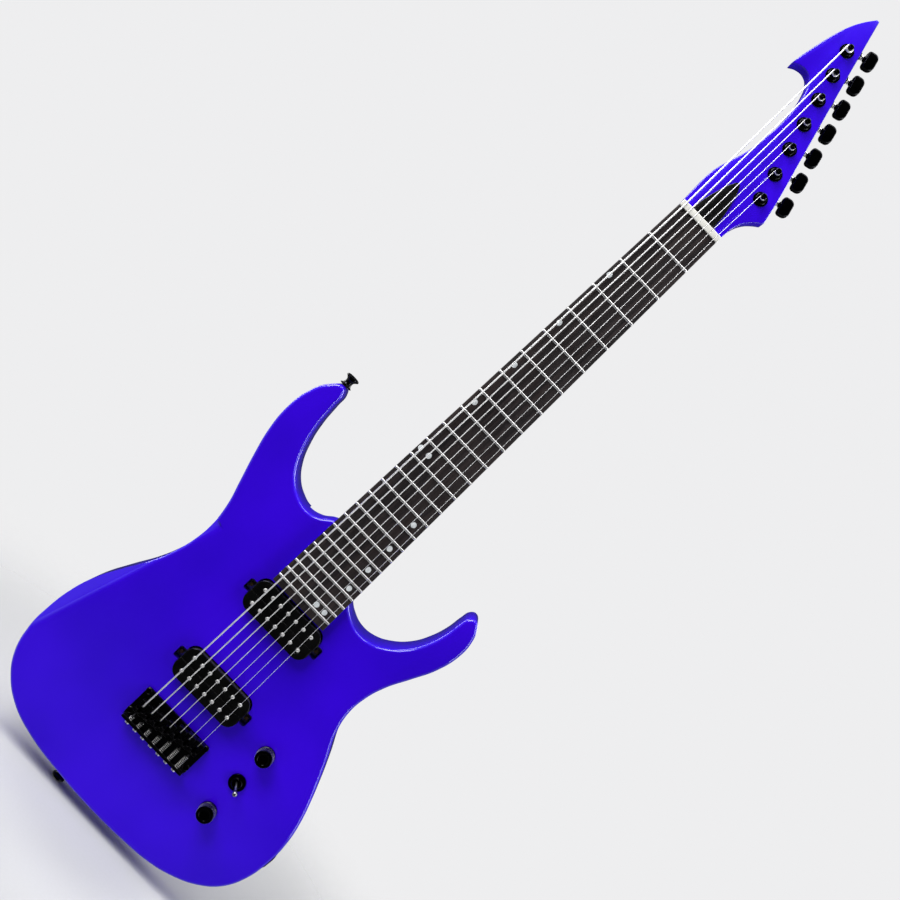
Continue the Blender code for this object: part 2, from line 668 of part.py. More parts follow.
for number, radius in enumerate(STRING_RADII):
    x_nut, x_end = lane(number, 0), lane(number, -SCALE_LENGTH)
    nut_level = BOARD_THICK + 1.6 - board_drop(x_nut) + GAP + radius
    end_level = saddle_tops[number] + GAP + radius
    px, py = post_spots[number]
    path = [head_point(px - 3.0 - GAP - radius, py, 8.2 + 0.15 * number),
            (x_nut, NUT_THICK, nut_level), (x_nut, 0, nut_level)]
    path += [(x_end, WITNESS[number] - 2.6, end_level),
             (x_end, WITNESS[number] - 3.7, end_level - 0.7),
             (x_end, ferrule_row[number], PLATE_TOP + 1.6),
             (x_end, ferrule_row[number], PLATE_TOP - 0.4),
             (x_end, ferrule_row[number], BODY_BACK + 3.4)]
    wire(f"string_{number + 1}", path, radius, guitar, STEEL)
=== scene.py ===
# %% [markdown]
# # A seven-string electric guitar
# The frame holds every solid of the guitar at its real size. Each cell below takes one
# piece, says what it is on the bench, and gives it the surface that the eye expects.
# The neck points along +Z and the face looks along -Y.

# %% Open the frame
import math

import bmesh
import bpy
from mathutils import Euler, Matrix, Vector


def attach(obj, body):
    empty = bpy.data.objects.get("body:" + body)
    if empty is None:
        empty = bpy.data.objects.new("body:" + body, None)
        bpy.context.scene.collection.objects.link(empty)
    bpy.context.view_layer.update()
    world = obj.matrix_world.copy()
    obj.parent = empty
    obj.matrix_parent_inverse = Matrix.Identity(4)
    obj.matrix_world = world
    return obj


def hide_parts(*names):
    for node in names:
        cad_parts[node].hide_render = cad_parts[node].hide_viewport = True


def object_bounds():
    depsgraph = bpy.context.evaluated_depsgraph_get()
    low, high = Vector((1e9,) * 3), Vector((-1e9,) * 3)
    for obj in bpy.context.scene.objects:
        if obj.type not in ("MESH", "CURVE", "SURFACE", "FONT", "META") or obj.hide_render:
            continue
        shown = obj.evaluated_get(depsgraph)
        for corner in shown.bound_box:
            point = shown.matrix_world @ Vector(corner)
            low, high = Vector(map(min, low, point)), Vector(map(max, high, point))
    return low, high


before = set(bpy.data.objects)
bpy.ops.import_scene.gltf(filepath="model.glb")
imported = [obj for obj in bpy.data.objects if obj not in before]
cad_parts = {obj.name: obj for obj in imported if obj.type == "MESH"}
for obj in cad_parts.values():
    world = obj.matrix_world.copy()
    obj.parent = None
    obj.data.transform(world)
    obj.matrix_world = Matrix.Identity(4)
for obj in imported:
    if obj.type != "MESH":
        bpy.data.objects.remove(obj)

cad_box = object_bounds()
scene = bpy.context.scene
print("CAD box", [tuple(round(c, 3) for c in corner) for corner in cad_box])

# %% [markdown]
# A guitar is measured lying on its back: across, along the neck, and up out of the face,
# in millimetres. Two matrices take that bench view to the upright frame in metres, one
# for the body and one for the tilted headstock. A third is made for each tuner later.

# %% Sizes of the whole guitar
GAP = 0.3
SCALE_LENGTH = 673.1
FRETS = 24
NUT_THICK = 5.5
NUT_HALF = 24.5
HEEL_END = -505.0
HEEL_HALF = 33.8
BOARD_END = -513.5
BOARD_THICK = 6.0
BOARD_RADIUS = 406.0
BODY_TOP = -2.5
BODY_BACK = -46.5
HEAD_TILT = math.radians(11.0)
HEAD_THICK = 14.5
STRING_RADII = (0.75, 0.60, 0.47, 0.35, 0.26, 0.22, 0.20)
WOUND_STRINGS = 4
NUT_LIP = 1.0
WITNESS = (-682.3, -681.0, -679.6, -677.6, -673.8, -672.6, -671.9)
NUT_PITCH = 6.87
BRIDGE_PITCH = 10.5

BENCH = Matrix(((0.001, 0, 0, 0), (0, 0, -0.001, 0), (0, 0.001, 0, 0), (0, 0, 0, 1)))
HEAD_TURN = Matrix.Translation((0, NUT_THICK, 0)) @ Matrix.Rotation(-HEAD_TILT, 4, "X")
HEAD = BENCH @ HEAD_TURN


def fret_place(number):
    return -SCALE_LENGTH * (1 - 2 ** (-number / 12))


def neck_half(y):
    return NUT_HALF + (HEEL_HALF - NUT_HALF) * min(max(y / HEEL_END, 0), 1.02)


def crown(x):
    """How far the rounded fingerboard falls below its middle at x."""
    return x * x / (2 * BOARD_RADIUS)


def lane(number, y):
    """Sideways place of a string at y, thickest string first."""
    pitch = NUT_PITCH + (BRIDGE_PITCH - NUT_PITCH) * y / -SCALE_LENGTH
    return (number - 3) * pitch


def hexagon(radius, turn=0.0):
    """The six corners of a hex nut or of a hex socket, turned by some degrees."""
    corners = [math.radians(60 * k + turn) for k in range(6)]
    return [(radius * math.cos(a), radius * math.sin(a)) for a in corners]


print("twelfth fret at", round(fret_place(12), 2), "mm from the nut")

# %% [markdown]
# Shapes come from a few workshop tools. An outline is a curve filled flat and given
# thickness. A plate is a ring of points lifted straight up. A turned piece is a profile
# swept round an axis. Carving joins, cuts and rounds a blank with modifiers and keeps
# the result as a plain mesh, because a plain mesh is what leaves the workshop.

# %% Outlines, plates and turned blanks
def outline(points, low, high, corners=(), steps=9):
    """A flat shape with curved sides, drawn through its points, as a bmesh."""
    data = bpy.data.curves.new("outline", "CURVE")
    data.dimensions = "2D"
    data.fill_mode = "BOTH"
    data.resolution_u = steps
    data.extrude = (high - low) / 2
    spline = data.splines.new("BEZIER")
    spline.bezier_points.add(len(points) - 1)
    for number, (point, (x, y)) in enumerate(zip(spline.bezier_points, points)):
        point.co = (x, y, 0)
        kind = "VECTOR" if number in corners else "AUTO"
        point.handle_left_type = point.handle_right_type = kind
    spline.use_cyclic_u = True
    curve = bpy.data.objects.new("outline", data)
    scene.collection.objects.link(curve)
    bm = bmesh.new()
    bm.from_mesh(evaluated(curve))
    bpy.data.objects.remove(curve)
    bmesh.ops.remove_doubles(bm, verts=bm.verts, dist=0.02)
    bmesh.ops.recalc_face_normals(bm, faces=bm.faces)
    inner = [e for e in bm.edges if all(abs(f.normal.z) > 0.99 for f in e.link_faces)]
    bmesh.ops.dissolve_edges(bm, edges=inner, use_verts=False)
    bmesh.ops.translate(bm, vec=(0, 0, (low + high) / 2), verts=bm.verts)
    return bm


def evaluated(obj):
    bpy.context.view_layer.update()
    graph = bpy.context.evaluated_depsgraph_get()
    return bpy.data.meshes.new_from_object(obj.evaluated_get(graph))


def ring_points(span_x, span_y, radii, steps=8):
    """A rectangle with its own corner radii, anticlockwise from the lower right."""
    (x0, x1), (y0, y1) = span_x, span_y
    radii = radii if isinstance(radii, tuple) else (radii,) * 4
    ring = []
    for turn, (x, y, r) in enumerate(((x1, y0, radii[0]), (x1, y1, radii[1]),
                                      (x0, y1, radii[2]), (x0, y0, radii[3]))):
        cx = x - r if x == x1 else x + r
        cy = y - r if y == y1 else y + r
        for step in range(steps + 1):
            angle = math.radians(-90 + 90 * turn + 90 * step / steps)
            ring.append((cx + r * math.cos(angle), cy + r * math.sin(angle)))
    return ring


def plate(ring, low, high):
    bm = bmesh.new()
    face = bm.faces.new([bm.verts.new((x, y, low)) for x, y in ring])
    lifted = bmesh.ops.extrude_face_region(bm, geom=[face])["geom"]
    bmesh.ops.translate(bm, vec=(0, 0, high - low),
                        verts=[v for v in lifted if isinstance(v, bmesh.types.BMVert)])
    bmesh.ops.recalc_face_normals(bm, faces=bm.faces)
    return bm


def block(low, high):
    (x0, y0, z0), (x1, y1, z1) = low, high
    return plate([(x1, y0), (x1, y1), (x0, y1), (x0, y0)], z0, z1)


def turned(profile, steps=48, centre=(0, 0, 0), axis="Z"):
    """A profile of (radius, height) swept round an axis; a radius of 0 makes a pole."""
    bm = bmesh.new()
    closed = profile[0] == profile[-1]
    rings = []
    for radius, height in (profile[:-1] if closed else profile):
        count = 1 if radius == 0 else steps
        rings.append([bm.verts.new((radius * math.cos(2 * math.pi * k / steps),
                                    radius * math.sin(2 * math.pi * k / steps), height))
                      for k in range(count)])
    pairs = list(zip(rings, rings[1:])) + ([(rings[-1], rings[0])] if closed else [])
    for upper, lower in pairs:
        for k in range(steps):
            corners = [upper[k % len(upper)], lower[k % len(lower)],
                       lower[(k + 1) % len(lower)], upper[(k + 1) % len(upper)]]
            bm.faces.new(list(dict.fromkeys(corners)))
    bmesh.ops.recalc_face_normals(bm, faces=bm.faces)
    turn = {"X": Matrix.Rotation(math.pi / 2, 4, "Y"),
            "Y": Matrix.Rotation(-math.pi / 2, 4, "X"), "Z": Matrix.Identity(4)}[axis]
    bm.transform(Matrix.Translation(centre) @ turn)
    return bm


def rod(radius, low, high, steps=32, centre=(0, 0, 0), axis="Z"):
    return turned([(0, high), (radius, high), (radius, low), (0, low)], steps, centre, axis)


# %% [markdown]
# Blanks are joined, cut and then rounded, in that order, as on a bench. A finished piece
# is set in its place, painted, and told which body of the guitar it moves with.

# %% Carving, and handing a piece to the frame
def temporary(bm, name="blank"):
    mesh = bpy.data.meshes.new(name)
    bm.to_mesh(mesh)
    bm.free()
    obj = bpy.data.objects.new(name, mesh)
    scene.collection.objects.link(obj)
    return obj


def carve(bm, join=(), cut=(), keep=(), soften=None, soften_first=None):
    """Join, cut and round a blank, and return the finished mesh."""
    blank = temporary(bm)
    helpers = []

    def rounded(width, segments, angle):
        bevel = blank.modifiers.new("Round", "BEVEL")
        bevel.width, bevel.segments = width, segments
        bevel.limit_method = "ANGLE"
        bevel.angle_limit = math.radians(angle)
        bevel.use_clamp_overlap = False

    if soften_first:
        rounded(*soften_first)
    for operation, tools in (("UNION", join), ("DIFFERENCE", cut), ("INTERSECT", keep)):
        for tool in tools:
            helper = temporary(tool, "tool")
            helpers.append(helper)
            step = blank.modifiers.new(operation, "BOOLEAN")
            step.operation, step.solver, step.object = operation, "EXACT", helper
    if soften:
        rounded(*soften)
    mesh = evaluated(blank)
    for obj in helpers + [blank]:
        bpy.data.objects.remove(obj)
    return mesh


def together(*meshes):
    """Loose pieces of one material, kept as separate shells of one mesh."""
    bm = bmesh.new()
    for mesh in meshes:
        bm.from_mesh(mesh)
    return bm


def piece(name, mesh, place, paint, body="guitar", stands_for=(), slot=None, sharp=32):
    """Give a mesh its place, its finish and the body that it moves with."""
    if isinstance(mesh, bmesh.types.BMesh):
        solid, mesh = mesh, bpy.data.meshes.new(name)
        solid.to_mesh(mesh)
        solid.free()
    mesh.name = name
    mesh.transform(place)
    mesh.materials.clear()
    mesh.materials.append(paint)
    mesh.shade_smooth()
    mesh.set_sharp_from_angle(angle=math.radians(sharp))
    obj = bpy.data.objects.new(name, mesh)
    scene.collection.objects.link(obj)
    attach(obj, body)
    if stands_for:
        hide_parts(*stands_for)
    return obj


print("workshop tools ready")

# %% [markdown]
# What repeats is laid out with Geometry Nodes. One tree sets a copy of a small blank on
# every point it is given and can turn each copy at random, which is how screw slots end
# up on a real instrument. Another sets copies round a circle, for knurling. A third coils
# wire. The small class below only saves typing: it adds a node, sets it and links it.

# %% A class for Geometry Nodes trees
class Recipe:
    """A Geometry Nodes tree with named inputs."""

    def __init__(self, name, inputs):
        self.tree = bpy.data.node_groups.new(name, "GeometryNodeTree")
        sockets = self.tree.interface
        sockets.new_socket("Geometry", in_out="INPUT", socket_type="NodeSocketGeometry")
        self.names = {}
        for label, (kind, value) in inputs.items():
            socket = sockets.new_socket(label, in_out="INPUT", socket_type="NodeSocket" + kind)
            if value is not None:
                socket.default_value = value
            self.names[label] = socket.identifier
        sockets.new_socket("Geometry", in_out="OUTPUT", socket_type="NodeSocketGeometry")
        self.given = self.tree.nodes.new("NodeGroupInput").outputs

    def add(self, kind, settings=None, links=None, out=0):
        node = self.tree.nodes.new(kind)
        for name, value in (settings or {}).items():
            setattr(node, name, value)
        for name, value in (links or {}).items():
            socket = next(s for s in node.inputs if s.name == name and s.enabled)
            if isinstance(value, bpy.types.NodeSocket):
                self.tree.links.new(value, socket)
            else:
                socket.default_value = value
        shown = [s for s in node.outputs if s.enabled]
        return shown[out] if shown else node

    def math(self, operation, first, second=0.0):
        node = self.tree.nodes.new("ShaderNodeMath")
        node.operation = operation
        for socket, value in zip(node.inputs, (first, second)):
            if isinstance(value, bpy.types.NodeSocket):
                self.tree.links.new(value, socket)
            else:
                socket.default_value = value
        return node.outputs[0]

    def close(self, geometry):
        real = self.add("GeometryNodeRealizeInstances", None, {"Geometry": geometry})
        real = self.add("GeometryNodeSetMaterial", None,
                        {"Geometry": real, "Material": self.given["Finish"]})
        self.tree.links.new(real, self.tree.nodes.new("NodeGroupOutput").inputs[0])
        return self

    def make(self, bm, finish, **values):
        """Run the tree on a blank and return the plain mesh that it makes."""
        host = temporary(bm, "host")
        modifier = host.modifiers.new("Recipe", "NODES")
        modifier.node_group = self.tree
        modifier[self.names["Finish"]] = finish
        for label, value in values.items():
            modifier[self.names[label.replace("_", " ")]] = value
        mesh = evaluated(host)
        bpy.data.objects.remove(host)
        return mesh


# %% [markdown]
# Three trees cover what repeats: small screws and dots set on points, the ridges round a
# knob, and the wire of springs and string turns.

# %% Trees for copies on points, copies round a circle, and coils
def points_recipe():
    r = Recipe("copies_on_points", {"Copy": ("Object", None), "Spin": ("Float", 0.0),
                                    "Seed": ("Int", 4), "Finish": ("Material", None)})
    copy = r.add("GeometryNodeObjectInfo", None, {"Object": r.given["Copy"]}, out=4)
    turn = r.add("FunctionNodeRandomValue", {"data_type": "FLOAT"},
                 {"Min": 0.0, "Max": r.given["Spin"], "Seed": r.given["Seed"]})
    turn = r.add("ShaderNodeCombineXYZ", None, {"Z": turn})
    dots = r.add("GeometryNodeMeshToPoints", None, {"Mesh": r.given["Geometry"]})
    return r.close(r.add("GeometryNodeInstanceOnPoints", None,
                         {"Points": dots, "Instance": copy, "Rotation": turn}))


def circle_recipe():
    r = Recipe("copies_round_a_circle", {"Copy": ("Object", None), "Count": ("Int", 60),
                                         "Finish": ("Material", None)})
    copy = r.add("GeometryNodeObjectInfo", None, {"Object": r.given["Copy"]}, out=4)
    dots = r.add("GeometryNodeMeshLine", None,
                 {"Count": r.given["Count"], "Offset": (0.0, 0.0, 0.0)})
    part = r.math("DIVIDE", r.add("GeometryNodeInputIndex"), r.given["Count"])
    turn = r.add("ShaderNodeCombineXYZ", None, {"Z": r.math("MULTIPLY", part, 2 * math.pi)})
    return r.close(r.add("GeometryNodeInstanceOnPoints", None,
                         {"Points": dots, "Instance": copy, "Rotation": turn}))


def coil_recipe():
    r = Recipe("coil", {"Turns": ("Float", 5.0), "Radius": ("Float", 2.0),
                        "Height": ("Float", 8.0), "Wire": ("Float", 0.3),
                        "Finish": ("Material", None)})
    steps = r.math("MULTIPLY", r.given["Turns"], 28.0)
    path = r.add("GeometryNodeCurveSpiral", None,
                 {"Resolution": 28, "Rotations": r.given["Turns"],
                  "Start Radius": r.given["Radius"], "End Radius": r.given["Radius"],
                  "Height": r.given["Height"]})
    path = r.add("GeometryNodeResampleCurve", None, {"Curve": path, "Count": steps})
    ring = r.add("GeometryNodeCurvePrimitiveCircle", None,
                 {"Resolution": 10, "Radius": r.given["Wire"]})
    return r.close(r.add("GeometryNodeCurveToMesh", None,
                         {"Curve": path, "Profile Curve": ring, "Fill Caps": True}))


ON_POINTS, ROUND_CIRCLE, COIL = points_recipe(), circle_recipe(), coil_recipe()


def copies(blank, points, finish, spin=0.0, seed=4):
    """The blank set on every point, as one mesh."""
    source = temporary(blank, "copy")
    host = bmesh.new()
    for point in points:
        host.verts.new(point)
    mesh = ON_POINTS.make(host, finish, Copy=source, Spin=spin, Seed=seed)
    bpy.data.objects.remove(source)
    return mesh


print("trees:", ", ".join(r.tree.name for r in (ON_POINTS, ROUND_CIRCLE, COIL)))

# %% [markdown]
# A finish is a sum of small effects, so the maths is written as sums. The class wraps
# one socket of a material and turns + - * / into Math nodes, both ways round.

# %% A class for shader sums
class Amount:
    """A value inside a material that can be added, multiplied and so on."""

    def __init__(self, paint, socket):
        self.paint, self.socket = paint, socket

    def _with(self, operation, other, swap=False):
        pair = (other, self) if swap else (self, other)
        return self.paint.add("ShaderNodeMath", {"operation": operation}, pair)

    def __add__(self, other): return self._with("ADD", other)
    def __radd__(self, other): return self._with("ADD", other)
    def __sub__(self, other): return self._with("SUBTRACT", other)
    def __rsub__(self, other): return self._with("SUBTRACT", other, True)
    def __mul__(self, other): return self._with("MULTIPLY", other)
    def __rmul__(self, other): return self._with("MULTIPLY", other)
    def __truediv__(self, other): return self._with("DIVIDE", other)
    def __pow__(self, other): return self._with("POWER", other)

    def step(self, low, high, start=0.0, end=1.0):
        return self.paint.add("ShaderNodeMapRange", {"interpolation_type": "SMOOTHSTEP"},
                              {"Value": self, "From Min": low, "From Max": high,
                               "To Min": start, "To Max": end})


class Paint:
    """A material round one Principled shader."""

    def __init__(self, name, **fixed):
        self.material = bpy.data.materials.new(name)
        self.material.use_nodes = True
        self.tree = self.material.node_tree
        self.shader = self.tree.nodes["Principled BSDF"]
        for label, value in fixed.items():
            self.shader.inputs[label.replace("_", " ")].default_value = value

    def add(self, kind, settings=None, sockets=(), out=0):
        node = self.tree.nodes.new(kind)
        for name, value in (settings or {}).items():
            if name == "stops":
                ramp = node.color_ramp.elements
                while len(ramp) < len(value):
                    ramp.new(0.5)
                for stop, (place, colour) in zip(ramp, value):
                    stop.position, stop.color = place, (*colour, 1.0)
            else:
                setattr(node, name, value)
        named = sockets.items() if isinstance(sockets, dict) else enumerate(sockets)
        for name, value in named:
            if isinstance(name, str):
                socket = next(s for s in node.inputs if s.name == name and s.enabled)
            else:
                socket = node.inputs[name]
            if isinstance(value, Amount):
                self.tree.links.new(value.socket, socket)
            else:
                socket.default_value = value
        shown = [s for s in node.outputs if s.enabled]
        return Amount(self, shown[out])

    def where(self, stretch=(1, 1, 1), turn=(0, 0, 0)):
        """Place on the piece in millimetres, stretched for grain or brushing."""
        spot = self.add("ShaderNodeTexCoord", out=3)
        return self.add("ShaderNodeMapping", None,
                        {"Vector": spot, "Rotation": turn,
                         "Scale": tuple(1000.0 * s for s in stretch)})

    def noise(self, size, detail=2.0, rough=0.5, at=None):
        """Soft noise from 0 to 1 whose lumps are about size millimetres."""
        return self.add("ShaderNodeTexNoise", None,
                        {"Vector": at or self.where(), "Scale": 1.0 / size,
                         "Detail": detail, "Roughness": rough})

    def mix(self, amount, first, second):
        first, second = (c if isinstance(c, Amount) else (*c, 1.0) for c in (first, second))
        return self.add("ShaderNodeMix", {"data_type": "RGBA"},
                        {"Factor": amount, "A": first, "B": second})

    def bump(self, height, depth, strength=1.0, under=None):
        """Relief of depth millimetres where height is 1."""
        sockets = {"Height": height, "Distance": depth * 0.001, "Strength": strength}
        if under is not None:
            sockets["Normal"] = under
        return self.add("ShaderNodeBump", None, sockets)

    def set(self, **links):
        for label, value in links.items():
            self.tree.links.new(value.socket, self.shader.inputs[label.replace("_", " ")])
        return self.material


# %% [markdown]
# The blue is a pigment coat under thick clear lacquer. The pigment is nearly even, with
# a slow drift that sprayed colour has, and the lacquer carries a faint orange peel that
# only shows in reflections. Fine dust and wiping marks change the roughness a little.

# %% Blue lacquer
def blue_lacquer():
    p = Paint("blue_lacquer", Coat_Weight=1.0, Coat_Roughness=0.05, Coat_IOR=1.45,
              Specular_IOR_Level=0.12)
    drift = p.noise(140.0, 2.0)
    cloud = p.noise(9.0, 3.0, 0.6)
    flake = p.noise(0.35, 1.0)
    colour = p.mix(drift.step(0.3, 0.7), (0.026, 0.0, 0.60), (0.038, 0.0, 0.75))
    colour = p.mix(flake.step(0.62, 0.75) * 0.16, colour, (0.10, 0.03, 0.95))
    wipe = p.noise(14.0, 4.0, 0.6, p.where((1, 1, 0.25), (0, 0.5, 0)))
    rough = 0.30 + cloud * 0.06 + wipe.step(0.55, 0.8) * 0.05
    peel = p.noise(1.9, 2.0)
    sink = p.noise(26.0, 1.0)
    normal = p.bump(peel, 0.010, 0.5, p.bump(sink, 0.05, 0.4))
    return p.set(Base_Color=colour, Roughness=rough, Normal=normal)


BLUE = blue_lacquer()

# %% [markdown]
# The fingerboard is dark ebony, oiled and left bare. Its figure is long streaks that
# follow the neck, and its pores are short dark scratches along the same grain.

# %% Ebony
def ebony():
    p = Paint("ebony", Specular_IOR_Level=0.4)
    streak = p.noise(2.2, 5.0, 0.62, p.where((1, 1, 0.035)))
    band = p.noise(11.0, 3.0, 0.5, p.where((1, 1, 0.06)))
    pore = p.noise(0.34, 2.0, 0.5, p.where((1, 1, 0.07))).step(0.60, 0.72)
    colour = p.mix(streak.step(0.35, 0.72), (0.010, 0.008, 0.009), (0.034, 0.024, 0.024))
    colour = p.mix(band.step(0.45, 0.75) * 0.5, colour, (0.046, 0.030, 0.026))
    colour = p.mix(pore * 0.75, colour, (0.004, 0.003, 0.003))
    handled = p.noise(30.0, 3.0)
    rough = 0.50 - handled.step(0.4, 0.7) * 0.10 + pore * 0.25
    normal = p.bump(1.0 - pore, 0.06, 0.7, p.bump(streak, 0.03, 0.5))
    return p.set(Base_Color=colour, Roughness=rough, Normal=normal)


EBONY = ebony()

# %% [markdown]
# Fret wire and plain strings are bright nickel steel, polished along their length, with
# hair-fine marks. Wound strings are the same steel wrapped round a core: the wrap is a
# ripple less than half a millimetre long, so it is drawn in the finish as a bump, with
# painted shade darkening the grooves between turns and a painted highlight on the crests.

# %% Bright steels
def steel(name, tint, rough, stretch, mark=0.010):
    p = Paint(name, Metallic=1.0)
    hair = p.noise(0.25, 3.0, 0.6, p.where(stretch))
    dull = p.noise(5.0, 3.0, 0.6)
    dark = tuple(c * 0.72 for c in tint)
    colour = p.mix(dull.step(0.45, 0.8) * 0.6, tint, dark)
    roughness = rough + hair * 0.12 + dull.step(0.4, 0.8) * 0.08
    return p.set(Base_Color=colour, Roughness=roughness, Normal=p.bump(hair, mark, 0.4))


def wound_steel(name, pitch):
    p = Paint(name, Metallic=1.0)
    spot = p.add("ShaderNodeTexCoord", out=3)
    along = p.add("ShaderNodeSeparateXYZ", None, {"Vector": spot}, out=2)
    wave = p.add("ShaderNodeMath", {"operation": "SINE"}, (along * (2000 * math.pi / pitch),))
    wrap = 0.5 + wave * 0.5
    dull = p.noise(7.0, 3.0)
    # Painted shade and highlight: the colour runs darker in the grooves between turns and
    # lighter on their crests.
    colour = p.mix(wrap, (0.78, 0.77, 0.76), (0.96, 0.955, 0.95))
    colour = p.mix(dull.step(0.5, 0.8) * 0.25, colour, (0.70, 0.66, 0.62))
    rough = 0.46 + (1.0 - wrap) * 0.12 + dull * 0.06
    return p.set(Base_Color=colour, Roughness=rough, Normal=p.bump(wrap, 0.03, 0.5))


FRET_STEEL = steel("fret_steel", (0.95, 0.94, 0.93), 0.30, (0.05, 1, 1))
PLAIN_STEEL = steel("plain_string_steel", (0.95, 0.95, 0.95), 0.42, (1, 1, 0.05))
SCREW_STEEL = steel("screw_steel", (0.86, 0.85, 0.84), 0.24, (1, 1, 1), 0.02)
POLE_STEEL = steel("pole_steel", (0.95, 0.94, 0.93), 0.48, (1, 1, 1), 0.02)
SPRING_STEEL = steel("spring_steel", (0.66, 0.65, 0.64), 0.34, (1, 1, 1), 0.02)
WOUND_STEEL = [wound_steel(f"wound_string_steel_{n + 1}", 0.9 * STRING_RADII[n])
               for n in range(WOUND_STRINGS)]

# %% [markdown]
# Black hardware is zinc or brass with a dark plated skin. It is glossy, a little brown
# where light grazes it, and it wears to bare grey on its most handled spots. The black
# plastics differ from it by having no metal in them and a soft moulded grain.

# %% Black metal, black plastics, bone, pearl and brass
def black_metal(name, rough, tone, wear):
    p = Paint(name, Metallic=1.0)
    smoke = p.noise(6.0, 3.0)
    rub = p.noise(1.6, 4.0, 0.65).step(0.66, 0.80)
    colour = p.mix(smoke, tone, tuple(c * 2.0 for c in tone))
    colour = p.mix(rub * wear, colour, tuple(0.06 + c * 2.5 for c in tone))
    roughness = rough + smoke * 0.10 + rub * 0.15
    return p.set(Base_Color=colour, Roughness=roughness,
                 Normal=p.bump(p.noise(0.5, 2.0), 0.008, 0.4))


def black_plastic(name, rough, grain, tone=(0.010, 0.010, 0.011), shine=0.5):
    p = Paint(name, Specular_IOR_Level=shine)
    mould = p.noise(0.45, 3.0, 0.6)
    haze = p.noise(12.0, 3.0)
    colour = p.mix(haze.step(0.35, 0.75), tone, tuple(c * 1.9 for c in tone))
    roughness = rough + haze * 0.10 + mould * 0.05
    return p.set(Base_Color=colour, Roughness=roughness, Normal=p.bump(mould, grain, 0.6))


def bone():
    p = Paint("bone_white", Specular_IOR_Level=0.5, Coat_Weight=0.25, Coat_Roughness=0.2)
    fibre = p.noise(0.9, 4.0, 0.6, p.where((0.15, 1, 1)))
    fleck = p.noise(0.5, 2.0).step(0.66, 0.76)
    colour = p.mix(fibre, (0.86, 0.85, 0.80), (0.78, 0.76, 0.69))
    colour = p.mix(fleck * 0.35, colour, (0.62, 0.58, 0.50))
    return p.set(Base_Color=colour, Roughness=0.30 + fibre * 0.12,
                 Normal=p.bump(fibre, 0.015, 0.5))


def pearl():
    p = Paint("pearl_white", Coat_Weight=0.6, Coat_Roughness=0.08)
    cell = p.add("ShaderNodeTexVoronoi", {"feature": "SMOOTH_F1"},
                 {"Vector": p.where((1, 1, 0.5), (0.3, 0.2, 0.4)), "Scale": 0.55})
    swirl = p.noise(2.6, 3.0, 0.6)
    colour = p.mix(cell.step(0.1, 0.9), (0.80, 0.83, 0.84), (0.62, 0.66, 0.68))
    colour = p.mix(swirl.step(0.5, 0.8) * 0.4, colour, (0.86, 0.78, 0.80))
    return p.set(Base_Color=colour, Roughness=0.22 + swirl * 0.10,
                 Normal=p.bump(swirl, 0.01, 0.3))


BLACK_CHROME = black_metal("black_chrome", 0.10, (0.010, 0.010, 0.011), 0.20)
BLACK_SATIN = black_metal("black_satin_metal", 0.24, (0.012, 0.012, 0.013), 0.30)
# The knurl ridges are given a light grey tone, far lighter than the black knob cap.
KNURL_METAL = black_metal("light_grey_knurl_metal", 0.40, (0.44, 0.43, 0.42), 0.60)
LEVER_METAL = black_metal("lever_metal", 0.24, (0.20, 0.20, 0.205), 0.5)
BLACK_GLOSS = black_plastic("black_gloss_plastic", 0.12, 0.004, (0.004, 0.004, 0.004))
BLACK_BOBBIN = black_plastic("black_bobbin_plastic", 0.10, 0.004, (0.002, 0.002, 0.002),
                             0.22)
BLACK_PLASTIC = black_plastic("black_cover_plastic", 0.34, 0.03)
BLACK_TAPE = black_plastic("black_coil_tape", 0.55, 0.05, (0.016, 0.014, 0.013))
BONE, PEARL = bone(), pearl()
BRASS = steel("leg_brass", (0.46, 0.30, 0.14), 0.30, (1, 0.3, 1), 0.02)
PLATED = steel("plated_steel", (0.52, 0.52, 0.53), 0.30, (0.2, 1, 1), 0.02)
print("finishes:", len(bpy.data.materials))

# %% [markdown]
# The body is one slab of wood. Its outline is drawn through listed points with
# automatic curve handles. The edge is rounded with a bevel, the forearm side is planed
# off at a slant, the heel is sloped at the back, and then the pockets are routed: two
# pickups with ear recesses, the controls from behind, and the holes for what bolts on.

# %% Body outline
BODY_OUTLINE = [
    (-119.0, -340.5), (-129.7, -348.0), (-139.1, -368.0), (-141.9, -393.4),
    (-139.0, -419.0), (-131.5, -446.6), (-122.5, -473.7), (-115.3, -496.0),
    (-111.4, -521.6), (-112.9, -543.8), (-117.3, -562.5), (-126.1, -586.6),
    (-140.8, -614.5), (-153.4, -640.6), (-160.9, -666.8), (-163.6, -693.1),
    (-162.7, -719.0), (-155.0, -745.4), (-140.6, -764.8), (-118.4, -780.5),
    (-88.8, -790.3), (-45.0, -796.2), (7.4, -798.5), (44.4, -797.4),
    (77.6, -794.2), (103.5, -787.3), (129.3, -774.0), (145.7, -758.0),
    (155.5, -737.0), (159.4, -711.0), (158.4, -684.4), (151.6, -656.2),
    (140.2, -628.1), (126.9, -600.2), (114.3, -576.1), (108.2, -553.9),
    (108.9, -531.5), (114.9, -509.5), (125.3, -487.2), (136.0, -463.2),
    (141.1, -439.2), (139.8, -421.0), (134.6, -409.0), (127.4, -403.0),
    (121.4, -406.5), (119.1, -416.0), (117.2, -432.0), (112.0, -450.3),
    (103.0, -467.5), (88.7, -482.0), (74.0, -490.0), (59.0, -492.0),
    (46.0, -488.5), (34.0, -480.5), (20.0, -462.0), (4.0, -440.0),
    (-14.0, -427.5), (-34.7, -434.5), (-46.0, -443.0), (-60.0, -446.6),
    (-73.0, -443.5), (-84.5, -436.8), (-95.8, -423.5), (-104.5, -404.0),
    (-109.8, -382.0), (-112.0, -360.0), (-113.4, -346.5),
]
PICKUP_ROWS = (-534.5, -628.2)
CONTROL_X = 82.8
KNOB_ROWS = (-637.3, -715.2)
SWITCH_ROW = -675.7
JACK_ROW = -711.0
MID_DEPTH = -24.5
